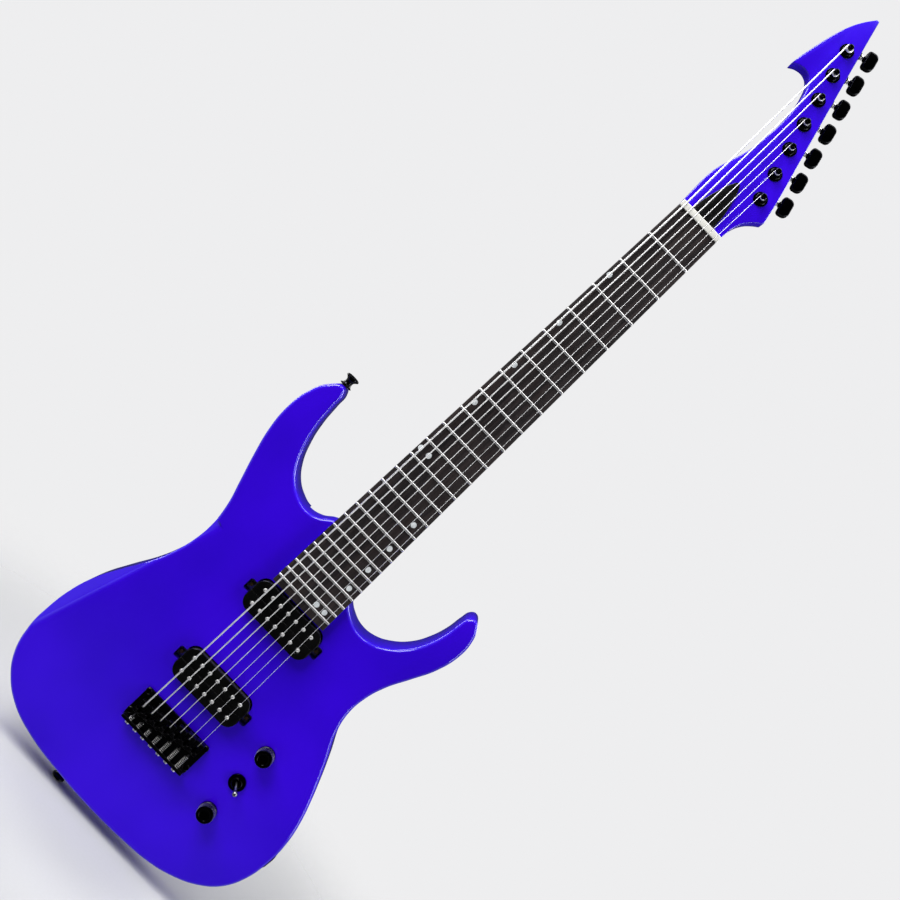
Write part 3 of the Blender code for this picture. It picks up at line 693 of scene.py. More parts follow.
TAIL_ROW = [w - 7.5 for w in WITNESS]
FERRULE_RING = [(-37.2, -696.6), (-1.0, -692.6), (37.2, -684.8),
                (37.2, -674.4), (1.0, -679.0), (-37.2, -683.6)]


def neck_ring(y, grow=0.0, steps=28, blunt=0.0, extra=0.0):
    """One cross-section of the neck, from one edge round the back to the other."""
    heel = min(max((y + 400) / -45, 0), 1)
    heel = heel * heel * (3 - 2 * heel)
    part = min(max(-y / 400, 0), 1)
    half, depth = neck_half(y) + grow, 14.0 + 3.0 * part + grow + extra
    power = 2.15 + 4.85 * heel + 12.0 * blunt
    ring = []
    for step in range(steps + 1):
        angle = math.pi * step / steps
        side, down = math.cos(angle), math.sin(angle)
        reach = (abs(side) ** power + abs(down) ** power) ** (-1 / power)
        ring.append((half * side * reach, -depth * down * reach))
    return ring


def loft(rows):
    """Skin over rings of 3-D points, closed at both ends."""
    bm = bmesh.new()
    rings = [[bm.verts.new(p) for p in row] for row in rows]
    for first, second in zip(rings, rings[1:]):
        for i in range(len(first)):
            j = (i + 1) % len(first)
            bm.faces.new((first[i], first[j], second[j], second[i]))
    bm.faces.new(rings[0])
    bm.faces.new(list(reversed(rings[-1])))
    bmesh.ops.recalc_face_normals(bm, faces=bm.faces)
    return bm


# %% [markdown]
# The slab is cut to its outline and its edges are rounded over. Then come the forearm
# bevel, the slanted heel, the room for the neck and the pockets and bores for the parts.

# %% Body
def neck_room():
    rows = []
    for y in (-395, -415, -422, -430, -437, -445, -460, HEEL_END - GAP):
        ring = neck_ring(y, GAP)
        ring[0], ring[-1] = (ring[0][0], 10.0), (ring[-1][0], 10.0)
        rows.append([(x, y, z) for x, z in ring])
    return loft(rows)


def placed(bm, matrix):
    bm.transform(matrix)
    return bm


def forearm_plane(slope, radius):
    """What the plane takes off: it rolls over from flat to its slope, then runs straight."""
    start = radius * math.tan(math.radians(slope / 2))
    path = []
    for step in range(13):
        angle = math.radians(-4 + (slope + 4) * step / 12)
        path.append((start - radius * math.sin(angle), -radius * (1 - math.cos(angle))))
    run, drop = math.cos(math.radians(slope)), math.sin(math.radians(slope))
    path[0] = (path[0][0], -path[0][1])
    path += [(path[-1][0] - 60 * run, path[-1][1] - 60 * drop)]
    path += [(path[-1][0], 30.0), (path[0][0], 30.0)]
    return loft([[(x, y, z) for x, z in path] for y in (-130.0, 130.0)])


def make_body():
    forearm = placed(forearm_plane(32, 15.0),
                     Matrix.Translation((-139.5, -640.0, BODY_TOP))
                     @ Matrix.Rotation(math.radians(-16.5), 4, "Z"))
    heel = placed(block((-60, 0, -40), (60, 80, 0)),
                  Matrix.LocRotScale(Vector((0, -500, BODY_BACK)),
                                     Euler((math.radians(14), 0, 0)), None))
    cuts = [forearm, heel, neck_room()]
    for row in PICKUP_ROWS:
        cuts.append(plate(ring_points((-41.8, 41.8), (row - 18.3, row + 18.3), 10.0),
                          -21.0, 10.0))
        cuts.append(plate(ring_points((-48.6, 48.6), (row - 6.6, row + 6.6), 2.5), -19, 9))
    cuts.append(plate(ring_points((62, 104), (-735, -618), 12.0), -60, -8.5))
    cuts.append(plate(ring_points((56, 110), (-741, -612), 16.0), -60, BODY_BACK + 2.2))
    seat = [(x + math.copysign(GAP, x), y + (GAP if n > 2 else -GAP))
            for n, (x, y) in enumerate(FERRULE_RING)]
    cuts.append(plate(seat, -60, BODY_BACK + 3.2))
    for radius, row in ((4.2, KNOB_ROWS[0]), (4.2, KNOB_ROWS[1]), (3.4, SWITCH_ROW)):
        cuts.append(rod(radius, -20, 5, 32, (CONTROL_X, row, 0)))
    cuts.append(rod(10.3, 95, 175, 48, (0, JACK_ROW, MID_DEPTH), "X"))
    cuts.append(rod(1.8, -30, 20, 16, (-119.5, -341, MID_DEPTH), "Y"))
    cuts.append(rod(1.8, -20, 30, 16, (-40.0, -797, MID_DEPTH), "Y"))
    for number, y in enumerate(TAIL_ROW):
        cuts.append(rod(2.0, -60, 5, 20, (lane(number, -SCALE_LENGTH), y, 0)))
    slab = outline(BODY_OUTLINE, BODY_BACK, BODY_TOP)
    return carve(slab, cut=cuts, soften_first=(3.5, 6, 50))


body = piece("body_shell", make_body(), BENCH, BLUE, stands_for=("body",),
             slot="blue_lacquer")
print("body faces", len(body.data.polygons))

# %% [markdown]
# Neck and headstock are one piece of wood. The back of the neck is skinned over
# cross-sections that turn from a round D into the square edges of the headstock. The
# headstock is a flat outline tilted back by eleven degrees, with a hooked point.

# %% Neck and headstock
HEAD_OUTLINE = [
    (24.6, -1.5), (24.8, 8.0), (26.6, 19.5), (31.0, 29.3), (36.9, 36.2),
    (42.8, 41.2), (37.6, 63.5), (23.2, 114.6), (8.4, 167.0), (-6.0, 218.4), (-18.2, 263.0),
    (-21.0, 262.4), (-28.5, 250.6), (-34.6, 237.0), (-39.6, 219.5), (-43.6, 199.0),
    (-46.4, 181.5), (-47.6, 170.3), (-40.0, 174.8), (-31.2, 175.4), (-23.6, 170.4),
    (-18.4, 159.5), (-15.0, 145.0), (-13.2, 125.0), (-13.6, 104.0), (-16.2, 80.0),
    (-20.4, 62.5), (-24.2, 49.0), (-26.0, 34.0), (-25.4, 16.0), (-24.6, -1.5),
]
HEAD_CORNERS = {0, 5, 10, 11, 17, 30}
TUNERS = 7
EDGE_ANGLE = math.atan2(7.3, 27.15)
POSTS = [(24.3 - 7.3 * k, 55.2 + 27.15 * k) for k in reversed(range(TUNERS))]


def make_neck():
    rows = []
    flat = [HEEL_END, -490, -475, -460, -450, -445, -441, -437, -433, -429, -425, -421,
            -417, -413, -409, -405, -400, -392, -380]
    flat += list(range(-360, -40, 20)) + list(range(-40, 3, 4)) + [4]
    for y in flat:
        blunt = min(max((y + 42) / 50, 0), 1) ** 1.6
        rows.append([(x, y, z) for x, z in neck_ring(y, blunt=blunt)])
    for s in (2.5, 6.0, 10.0, 14.0):
        ring = neck_ring(0, -0.15, blunt=1.0, extra=0.35)
        ring = [HEAD_TURN @ Vector((x, s, z - 0.05)) for x, z in ring]
        rows.append([tuple(v) for v in ring])
    head = outline(HEAD_OUTLINE, -HEAD_THICK, 0.0, HEAD_CORNERS, 8)
    head = carve(head, soften_first=(1.0, 3, 50))
    bm = bmesh.new()
    bm.from_mesh(head)
    bm.transform(HEAD_TURN)
    bores = [placed(rod(5.3, -30, 5, 32, (x, y, 0)), HEAD_TURN.copy()) for x, y in POSTS]
    return carve(loft(rows), join=[bm], cut=bores)


neck = piece("neck_and_headstock", make_neck(), BENCH, BLUE, stands_for=("neck",),
             slot="blue_lacquer")
print("neck faces", len(neck.data.polygons))

# %% [markdown]
# The fingerboard is a tapered ebony plate with a crowned top. Its frets are one small
# bead repeated 24 times by a Geometry Nodes tree, which works out where each fret goes
# from the scale length, cuts it to the width of the board and bends it to the crown.

# %% Fingerboard with its frets and markers
def crowned_plate(y0, y1, low, rise, steps=20, rows=1, inset=0.0):
    rings = []
    for row in range(rows + 1):
        y = y0 + (y1 - y0) * row / rows
        half = neck_half(y) - inset
        top = [(half - 2 * half * k / steps, y) for k in range(steps + 1)]
        rings.append([(x, y, rise - crown(x)) for x, y in top]
                     + [(-half, y, low), (half, y, low)])
    return loft(rings)


def frets_recipe():
    """Beads on a line, moved by their index to the place of each fret."""
    r = Recipe("frets", {"Frets": ("Int", 24), "Scale": ("Float", 673.1),
                         "Nut Half": ("Float", 24.5), "Spread": ("Float", 0.0184),
                         "Crown Radius": ("Float", 406.0), "Level": ("Float", 6.0),
                         "Copy": ("Object", None), "Finish": ("Material", None)})
    bead = r.add("GeometryNodeObjectInfo", None, {"Object": r.given["Copy"]}, out=4)
    number = r.math("ADD", r.add("GeometryNodeInputIndex"), 1.0)
    short = r.math("POWER", 2.0, r.math("DIVIDE", number, -12.0))
    down = r.math("MULTIPLY", r.math("SUBTRACT", 1.0, short), r.given["Scale"])
    line = r.add("GeometryNodeMeshLine", None, {"Count": r.given["Frets"],
                                                "Offset": (0.0, 0.0, 0.0)})
    spot = r.add("ShaderNodeCombineXYZ", None, {"Y": r.math("MULTIPLY", down, -1.0),
                                                "Z": r.given["Level"]})
    line = r.add("GeometryNodeSetPosition", None, {"Geometry": line, "Offset": spot})
    half = r.math("ADD", r.given["Nut Half"], r.math("MULTIPLY", down, r.given["Spread"]))
    size = r.add("ShaderNodeCombineXYZ", None, {"X": half, "Y": 1.0, "Z": 1.0})
    row = r.add("GeometryNodeInstanceOnPoints", None,
                {"Points": line, "Instance": bead, "Scale": size})
    row = r.add("GeometryNodeRealizeInstances", None, {"Geometry": row})
    side = r.add("ShaderNodeSeparateXYZ", None,
                 {"Vector": r.add("GeometryNodeInputPosition")})
    fall = r.math("DIVIDE", r.math("MULTIPLY", side, side),
                  r.math("MULTIPLY", r.given["Crown Radius"], -2.0))
    bend = r.add("ShaderNodeCombineXYZ", None, {"Z": fall})
    return r.close(r.add("GeometryNodeSetPosition", None,
                         {"Geometry": row, "Offset": bend}))


def fret_bead():
    """One fret of half length 1: a round crown, ends filed over, and its foot."""
    rings = []
    for x, grow in ((-0.990, 0.25), (-0.986, 0.7), (-0.978, 0.93), (-0.965, 1.0)) \
            + tuple((-0.965 + 0.193 * k, 1.0) for k in range(1, 10)) \
            + ((0.965, 1.0), (0.978, 0.93), (0.986, 0.7), (0.990, 0.25)):
        arc = [(x, 1.3 * math.cos(a), 1.2 * grow * math.sin(a) ** 0.8)
               for a in (math.pi * k / 10 for k in range(11))]
        rings.append([(x, y * (0.6 + 0.4 * grow), z) for _, y, z in arc]
                     + [(x, -0.5, -0.4), (x, 0.5, -0.4)])
    return loft(rings)


def fret_mesh():
    bead = temporary(fret_bead(), "bead")
    mesh = frets_recipe().make(bmesh.new(), FRET_STEEL, Copy=bead, Frets=FRETS,
                               Spread=(HEEL_HALF - NUT_HALF) / -HEEL_END)
    bpy.data.objects.remove(bead)
    return mesh


def dot_spots():
    """Where the markers sit: low side up to the octave, high side above it."""
    spots = []
    for above, shift in ((3, -3.5), (5, -3.6), (7, -4.1), (9, -4.4)):
        spots.append((-18.0 + shift, above))
    spots += [(-26.6, 12), (-16.2, 12)]
    spots += [(20.6, 15), (21.1, 17), (21.6, 19), (21.8, 21), (11.8, 24), (22.2, 24)]
    return [(x, (fret_place(n) + fret_place(n - 1)) / 2) for x, n in spots]


def make_dots():
    flat = turned([(0, 0.06), (2.4, 0.06), (2.95, 0.0), (3.0, -0.3), (0, -0.3)], 32)
    points = [(x, y, BOARD_THICK - crown(x) + 0.05) for x, y in dot_spots()]
    side = turned([(0, 0.12), (0.8, 0.1), (1.0, 0.0), (1.0, -0.3), (0, -0.3)], 16,
                  axis="X")
    bm = bmesh.new()
    bm.from_mesh(copies(flat, points, PEARL))
    rows = [3, 5, 7, 9, 12, 12, 15, 17, 19, 21, 24, 24]
    for k, number in enumerate(rows):
        y = (fret_place(number) + fret_place(number - 1)) / 2
        if number in (12, 24):
            y += 3.0 if rows[k - 1] == number else -3.0
        dot = side.copy()
        dot.transform(Matrix.Translation((-neck_half(y) - 0.02, y, BOARD_THICK - 3.4))
                      @ Matrix.Rotation(math.pi, 4, "Z"))
        scrap = bpy.data.meshes.new("dot")
        dot.to_mesh(scrap)
        dot.free()
        bm.from_mesh(scrap)
    side.free()
    return bm


board_blank = crowned_plate(-GAP, BOARD_END, GAP, BOARD_THICK, 24, 40)
piece("fingerboard", carve(board_blank, soften=(0.5, 3, 50)), BENCH, EBONY,
      stands_for=("fretboard",), slot="ebony")
piece("frets", fret_mesh(), BENCH, FRET_STEEL)
piece("marker_dots", make_dots(), BENCH, PEARL)
print("frets and dots placed to y =", round(fret_place(FRETS), 1))

# %% [markdown]
# The nut is a strip of bone with its back edge rounded over, and one slot per string.
# Each slot is as wide as its string. The leaf-shaped cover behind it hides the end of
# the truss rod and is held by two small screws.

# %% Nut and truss rod cover
def make_nut():
    blank = crowned_plate(NUT_THICK + NUT_LIP, 0.0, GAP, BOARD_THICK + 2.4, 24)
    slots = []
    for number, radius in enumerate(STRING_RADII):
        x = lane(number, 0)
        floor = BOARD_THICK + 1.6 - crown(x)
        slots.append(block((x - radius - 0.12, -2, floor + 0.25),
                           (x + radius + 0.12, NUT_THICK + 3, 12)))
    return carve(blank, cut=slots, soften_first=(0.7, 4, 50), soften=(0.12, 1, 60))


COVER_OUTLINE = [
    (-13.6, 1.2), (13.6, 1.2), (12.4, 14.0), (9.0, 30.0), (4.6, 44.0), (0.0, 50.0),
    (-4.6, 44.0), (-9.0, 30.0), (-12.4, 14.0),
]


def screw_blank(radius, height, slot="cross"):
    """A screw head whose top is domed, with a cross or a hex socket in it."""
    head = turned([(0, height), (radius * 0.45, height * 0.96), (radius * 0.8, height * 0.75),
                   (radius, height * 0.25), (radius, -0.6), (0, -0.6)], 24)
    wide, deep = radius * 0.16, height * 0.35
    if slot == "hex":
        cuts = [plate(hexagon(radius * 0.55), deep - 0.4, 9)]
    else:
        cuts = [block((-radius * 0.62, -wide, deep), (radius * 0.62, wide, 9)),
                block((-wide, -radius * 0.62, deep), (wide, radius * 0.62, 9))]
    return together(carve(head, cut=cuts))


piece("nut", make_nut(), BENCH, BONE, stands_for=("nut",), slot="bone_white")
cover_blank = outline(COVER_OUTLINE, GAP, 2.2, {0, 1}, 10)
piece("truss_rod_cover", carve(cover_blank, soften=(0.5, 3, 50)), HEAD, BLACK_GLOSS,
      stands_for=("truss_rod_cover",), slot="black_plastic")
piece("cover_screws", copies(screw_blank(2.1, 1.0), [(0, 45.2, 2.15), (0, 5.2, 2.15)],
                             BLACK_CHROME, 3.1, 7), HEAD, BLACK_CHROME)
print("nut and cover placed")

# %% [markdown]
# Each pickup has two bobbins side by side, seven screw poles in each, and a metal leg at
# both ends with a brass height screw and a spring under it. The bobbin is a top and a
# bottom flange with the tape-wrapped coil between them, so its side is stepped.

# %% Pickups
POLE_PITCH = 10.3
POLE_OFFSET = 8.8
EARS = (-44.9, 44.9)


def half_pickup(row, side, low, high, inset):
    """One bobbin's slice of the pickup's rounded outline."""
    near, far = row + side * (0.15 + inset * 0.3), row + side * (17.5 - inset)
    half = 41.0 - inset
    ring = ring_points((-half, half), (min(near, far), max(near, far)), 0.6, 3)
    keep = plate(ring_points((-half, half), (row - 17.5 + inset, row + 17.5 - inset),
                             10.0 - inset, 12), low - 5, high + 5)
    return plate(ring, low, high), keep


def make_bobbin(row, side):
    flange, keep = half_pickup(row, side, 3.2, 5.5, 0.0)
    bores = [rod(2.35, 4.6, 9, 24, ((k - 3) * POLE_PITCH, row + side * POLE_OFFSET, 0))
             for k in range(TUNERS)]
    top = carve(flange, cut=bores, keep=[keep], soften=(0.7, 4, 50))
    foot, keep = half_pickup(row, side, -12.2, -10.4, 0.2)
    foot = carve(foot, keep=[keep], soften=(0.3, 2, 50))
    return together(top, foot)


def make_coil(row, side):
    """The wound coil under its tape: a barrel with a lap in the tape."""
    coil, keep = half_pickup(row, side, -10.6, 3.4, 1.1)
    if side > 0:
        lap = block((-12.0, row + 16.2, -9.8), (4.0, row + 16.55, 2.6))
    else:
        lap = block((-4.0, row - 16.55, -9.8), (12.0, row - 16.2, 2.6))
    return carve(coil, join=[lap], keep=[keep])


def make_pickup_base(row):
    plate_ring = ring_points((-39, 39), (row - 16.5, row + 16.5), 9.0, 10)
    legs = plate(ring_points((-48.0, 48.0), (row - 5.8, row + 5.8), 2.0, 6), -14.6, -13.2)
    holes = [rod(1.4, -20, -5, 20, (x, row, 0)) for x in EARS]
    return carve(plate(plate_ring, -15.0, -12.5), join=[legs], cut=holes,
                 soften=(0.35, 2, 50))


for name, row in zip(("neck_pickup", "bridge_pickup"), PICKUP_ROWS):
    poles = []
    for side, letter in ((1, "a"), (-1, "b")):
        piece(f"{name}_bobbin_{letter}", make_bobbin(row, side), BENCH, BLACK_BOBBIN,
              stands_for=(f"{name}_bobbin_{letter}",), slot="black_plastic")
        piece(f"{name}_coil_{letter}", make_coil(row, side), BENCH, BLACK_TAPE)
        poles += [((k - 3) * POLE_PITCH, row + side * POLE_OFFSET, 4.75)
                  for k in range(TUNERS)]
    piece(f"{name}_base", make_pickup_base(row), BENCH, PLATED,
          stands_for=(f"{name}_base",), slot="nickel_silver")
    piece(f"{name}_poles", copies(screw_blank(2.05, 1.15, "hex"), poles, POLE_STEEL,
                                  3.1, int(-row)), BENCH, POLE_STEEL)
    ears = [(x, row, -9.0) for x in EARS]
    piece(f"{name}_height_screws", copies(screw_blank(2.5, 1.6), ears, BRASS, 3.1, 5),
          BENCH, BRASS)
    springs = bmesh.new()
    for x, y, _ in ears:
        coil = COIL.make(bmesh.new(), BRASS, Turns=3.5, Radius=2.0, Height=3.4, Wire=0.28)
        coil.transform(Matrix.Translation((x, y, -13.2)))
        springs.from_mesh(coil)
    piece(f"{name}_springs", springs, BENCH, BRASS)
print("pickups placed, pole rows 17.6 mm apart")

# %% [markdown]
# The bridge is a flat plate with an upright wall at its tail. Seven saddle blocks lie on
# it, each with a long screw through the wall that sets its length, a spring round that
# screw, and two small grub screws that stand it on the plate. Strings pass down through
# the plate and the body to the metal plate let into the back.

# %% Bridge plate and its screws
PLATE_BOTTOM, PLATE_TOP = -2.2, 0.8
BRIDGE_HALF, BRIDGE_FRONT, BRIDGE_BACK = 41.3, -671.5, -708.5
BRIDGE_LANES = [lane(k, -SCALE_LENGTH) for k in range(TUNERS)]
SADDLE_TOPS = [10.2 - crown(x) for x in BRIDGE_LANES]


def make_bridge():
    ring = ring_points((-BRIDGE_HALF, BRIDGE_HALF), (BRIDGE_BACK, BRIDGE_FRONT),
                       (4.0, 2.0, 2.0, 4.0), 8)
    wall = plate(ring_points((-BRIDGE_HALF + 1.0, BRIDGE_HALF - 1.0),
                             (BRIDGE_BACK, BRIDGE_BACK + 3.0), 1.4, 4),
                 PLATE_BOTTOM + 1, 8.0)
    cuts = []
    for x, y in zip(BRIDGE_LANES, TAIL_ROW):
        cuts.append(rod(2.0, -8, 5, 24, (x, y, 0)))
        cuts.append(rod(1.7, -6, 6, 20, (x, BRIDGE_BACK, 4.6), "Y"))
    for x, y in BRIDGE_SCREWS:
        cuts.append(turned([(0, 6), (4.2, 6), (3.6, PLATE_TOP), (1.8, PLATE_TOP - 1.8),
                            (1.8, -6), (0, -6)], 24, (x, y, 0)))
    return carve(plate(ring, PLATE_BOTTOM, PLATE_TOP), join=[wall], cut=cuts,
                 soften=(0.35, 3, 40))


BRIDGE_SCREWS = [(-38.6, -674.6), (38.6, -674.6), (-38.6, -700.5), (38.6, -700.5)]
piece("bridge_plate", make_bridge(), BENCH, BLACK_SATIN, stands_for=("bridge_plate",),
      slot="black_metal")
piece("bridge_screws", copies(screw_blank(3.1, 1.3), [(x, y, 0.0) for x, y in BRIDGE_SCREWS],
                              BLACK_CHROME, 3.1, 11), BENCH, BLACK_CHROME)


SCREW_LEVEL, THREAD_PITCH = 4.6, 0.7


def sideways(mesh, matrix):
    mesh.transform(matrix)
    return mesh


def intonation_screw(number):
    """The long screw behind one saddle: its thread, and its head outside the wall."""
    front = WITNESS[number] - 14.0
    thread = [(0, front)]
    for k in range(int((front - BRIDGE_BACK - 1.0) / THREAD_PITCH)):
        at = front - THREAD_PITCH * k
        thread += [(1.35, at), (1.15, at - THREAD_PITCH / 2)]
    thread += [(1.3, BRIDGE_BACK + 1.0), (1.3, BRIDGE_BACK - 0.2), (0, BRIDGE_BACK - 0.2)]
    head = [(0, BRIDGE_BACK - 0.2), (2.4, BRIDGE_BACK - 0.2), (2.55, BRIDGE_BACK - 0.8),
            (2.3, BRIDGE_BACK - 1.9), (1.2, BRIDGE_BACK - 2.3), (0, BRIDGE_BACK - 2.35)]
    slot = block((-0.32, -3, BRIDGE_BACK - 4), (0.32, 3, BRIDGE_BACK - 1.5))
    cross = block((-3, -0.32, BRIDGE_BACK - 4), (3, 0.32, BRIDGE_BACK - 1.5))
    lie_down = (Matrix.Translation((BRIDGE_LANES[number], 0, SCREW_LEVEL))
                @ Matrix.Rotation(-math.pi / 2, 4, "X"))
    return (sideways(carve(turned(thread, 20)), lie_down),
            sideways(carve(turned(head, 20), cut=[slot, cross]), lie_down))


long_screws, screw_heads, bridge_springs = bmesh.new(), bmesh.new(), bmesh.new()
for number, x in enumerate(BRIDGE_LANES):
    thread, head = intonation_screw(number)
    long_screws.from_mesh(thread)
    screw_heads.from_mesh(head)
    front = WITNESS[number] - 19.4
    room = front - (BRIDGE_BACK + 3.1)
    coil = COIL.make(bmesh.new(), SCREW_STEEL, Turns=room / 1.7, Radius=2.0,
                     Height=room, Wire=0.26)
    bridge_springs.from_mesh(sideways(coil, Matrix.Translation(
        (x, BRIDGE_BACK + 3.1, SCREW_LEVEL)) @ Matrix.Rotation(-math.pi / 2, 4, "X")))
piece("length_screws", long_screws, BENCH, BLACK_CHROME)
piece("length_screw_heads", screw_heads, BENCH, SCREW_STEEL)
piece("length_springs", bridge_springs, BENCH, SPRING_STEEL)

# %% [markdown]
# A saddle is a small block with a long slot for the string, a groove in its lip, two
# upright holes for grub screws and a bore for its length screw. Its back is sloped down.

# %% Saddles
GRUB_HOLES = [(-3.35, -8.2, 0), (3.35, -8.2, 0)]


def make_saddle(top):
    """A saddle drawn round the point where the string leaves it, top above the body."""
    ring = ring_points((-5.0, 5.0), (-19.2, 0.8), 0.9, 4)
    slot = plate(ring_points((-1.6, 1.6), (-12.5, -0.8), 1.4, 6), -20, 10)
    rear = block((-10, -40, -2.6), (10, -13.5, 5))
    ramp = placed(block((-10, -14, 0), (10, 0, 8)),
                  Matrix.Translation((0, -13.5, -2.6))
                  @ Matrix.Rotation(math.radians(60), 4, "X"))
    groove = rod(0.55, -3, 3, 16, (0, 0, 0.35), "Y")
    holes = [rod(1.45, -20, 5, 20, hole) for hole in GRUB_HOLES]
    holes.append(rod(1.55, -25, -11, 20, (0, 0, SCREW_LEVEL - top), "Y"))
    return carve(plate(ring, -7.8, 0.0), cut=[slot, rear, ramp, groove] + holes,
                 soften=(0.35, 3, 40))


for number, (x, y, top) in enumerate(zip(BRIDGE_LANES, WITNESS, SADDLE_TOPS)):
    spot = BENCH @ Matrix.Translation((x, y, top))
    rider = {"body": f"saddle_{number + 1}"}
    piece(f"saddle_{number + 1}", make_saddle(top), spot, BLACK_SATIN,
          stands_for=(f"saddle_{number + 1}",), slot="black_metal", **rider)
    grub = turned([(0, -1.2), (1.3, -1.2), (1.4, -1.5), (1.4, -top + 1.6), (1.0, -top + 1.1),
                   (0, -top + 1.1)], 20)
    grub = together(carve(grub, cut=[plate(hexagon(0.75), -3.0, 1.0)]))
    piece(f"saddle_{number + 1}_grub_screws", copies(grub, GRUB_HOLES, BLACK_CHROME), spot,
          BLACK_CHROME, **rider)
print("saddles stand", [round(t, 1) for t in SADDLE_TOPS], "mm above the board's plane")

# %% [markdown]
# The two knobs are turned metal with a flat top and a knurled side, which a circle of
# thin ridges gives. Below them sit the potentiometers, inside the body. The switch has a
# dress nut on the face and a lever with a rounded tip, and it is thrown to one side.

# %% Knobs and potentiometers
KNURL_TOP, KNURL_FOOT, RIDGES = 12.0, 2.7, 90


def make_knob():
    body = turned([(0, 13.05), (5.4, 13.05), (5.6, 13.2), (7.7, 13.2), (8.35, 12.8),
                   (8.6, 12.2), (8.9, 2.6), (9.3, 2.2), (9.35, -1.0), (8.9, -1.6),
                   (3.3, -1.6), (3.3, 10.0), (0, 10.0)], 72)
    rows = []
    for z in (KNURL_TOP, KNURL_FOOT):
        root, crest = 8.45 - z * 0.02, 8.85 + (KNURL_TOP - z) * 0.028
        rows.append([(root, -0.16, z), (crest, 0.0, z), (root, 0.16, z)])
    ridge = loft(rows)
    blank = temporary(ridge, "ridge")
    knurl = ROUND_CIRCLE.make(bmesh.new(), KNURL_METAL, Copy=blank, Count=RIDGES)
    bpy.data.objects.remove(blank)
    line = block((5.2, -0.35, 13.12), (8.0, 0.35, 13.30))
    return carve(body, cut=[line]), knurl


for number, row in enumerate(KNOB_ROWS):
    spot = BENCH @ Matrix.Translation((CONTROL_X, row, 0))
    spot = spot @ Matrix.Rotation(math.radians(40 - 25 * number), 4, "Z")
    rider = {"body": f"control_knob_{number + 1}"}
    cap, knurl = make_knob()
    piece(f"control_knob_{number + 1}", cap, spot, BLACK_CHROME,
          stands_for=(f"control_knob_{number + 1}",), slot="black_metal", **rider)
    piece(f"control_knob_{number + 1}_knurl", knurl, spot, KNURL_METAL, **rider)
    can = turned([(0, 9.4), (2.7, 9.4), (3.0, 9.1), (3.0, -2.0), (3.9, -2.0), (3.9, -8.8),
                  (8.2, -8.8), (8.6, -9.2), (8.6, -16.6), (8.1, -17.0), (0, -17.0)], 40)
    lugs = [block((x - 1.0, 7.5, -12.6), (x + 1.0, 12.5, -12.1)) for x in (-4, 0, 4)]
    piece(f"potentiometer_{number + 1}", carve(can, join=lugs, soften=(0.15, 2, 50)), spot,
          PLATED, stands_for=(f"potentiometer_{number + 1}",), slot="zinc_steel")

# %% [markdown]
# The switch is a threaded bushing with a dress ring that stands just off the face. Its
# lever leans to one side, and its tip is a small turned drop.

# %% Selector switch
LEVER_HEADING, LEVER_LEAN = math.radians(-35), math.radians(24)
SWITCH_SPOT = BENCH @ Matrix.Translation((CONTROL_X, SWITCH_ROW, 0))
THROW = Matrix.Rotation(LEVER_HEADING, 4, "Z") @ Matrix.Rotation(LEVER_LEAN, 4, "Y")


def make_switch():
    bushing = turned([(5.0, 2.5), (5.2, 2.2), (5.2, 0.8), (5.6, 0.55), (7.6, 0.5),
                      (8.5, 0.15), (8.8, -0.6), (8.8, -2.2), (3.1, -2.2), (3.1, -8.8),
                      (6.4, -8.8), (6.4, -22.0), (2.2, -22.0), (2.2, -4.0), (4.0, 2.4),
                      (4.4, 2.8), (4.8, 2.75), (5.0, 2.5)], 64)
    notches = [block((4.5, -0.6, 1.7), (6.0, 0.6, 4)), block((-6.0, -0.6, 1.7), (-4.5, 0.6, 4))]
    return carve(bushing, cut=notches)


piece("switch_body", make_switch(), SWITCH_SPOT, BLACK_CHROME, stands_for=("switch_body",),
      slot="black_metal")
lever = turned([(0, 17.6), (0.9, 17.5), (1.7, 17.1), (2.3, 16.4), (2.6, 15.5), (2.6, 14.4),
                (2.3, 13.3), (1.85, 12.2), (1.6, 11.0), (1.45, 8.0), (1.25, 1.5),
                (1.1, -2.4), (0, -2.4)], 40)
piece("switch_lever", lever, SWITCH_SPOT @ Matrix.Translation((0, 0, 1.0)) @ THROW,
      LEVER_METAL, body="switch_lever", stands_for=("switch_lever",), slot="black_metal")
print("controls placed")

# %% [markdown]
# The output jack sits in the edge of the lower bout behind a round flange with a hex nut.
# Strap buttons are small spools on wood screws, with a cross slot in the top. The back
# holds the plastic cover of the control pocket, with its screws, and the metal plate
# with a countersunk hole for each string.

# %% Jack, strap buttons and back plates
def make_jack():
    tube = turned([(12.1, 1.6), (12.5, 1.2), (12.5, 0.4), (10.0, 0.4), (10.0, -30.0),
                   (3.3, -30.0), (3.3, 2.6), (3.6, 3.1), (4.4, 3.1), (4.7, 2.8),
                   (4.7, 1.6), (12.1, 1.6)], 64)
    hex_nut = carve(plate(hexagon(6.4, 12), 1.7, 2.7), cut=[rod(4.75, 0, 5, 48)],
                    soften=(0.25, 2, 50))
    return together(carve(tube), hex_nut)


JACK_SPOT = (BENCH @ Matrix.Translation((159.7, JACK_ROW, MID_DEPTH))
             @ Matrix.Rotation(math.pi / 2, 4, "Y"))
piece("output_jack", make_jack(), JACK_SPOT, BLACK_CHROME, stands_for=("output_jack",),
      slot="black_metal")


def make_strap_button():
    spool = turned([(0, 11.2), (3.0, 11.2), (3.6, 11.95), (4.4, 12.0), (6.0, 11.6),
                    (7.0, 10.9), (7.2, 10.2), (7.0, 9.5), (5.6, 8.4), (4.3, 7.0),
                    (3.9, 5.6), (4.1, 3.4), (4.9, 1.8), (6.2, 0.9), (6.6, 0.5), (6.6, 0.0),
                    (1.5, 0.0), (1.5, -20.0), (0, -24.0)], 48)
    screw = screw_blank(2.9, 1.2)
    screw.transform(Matrix.Translation((0, 0, 11.0)))
    return carve(spool, join=[screw])


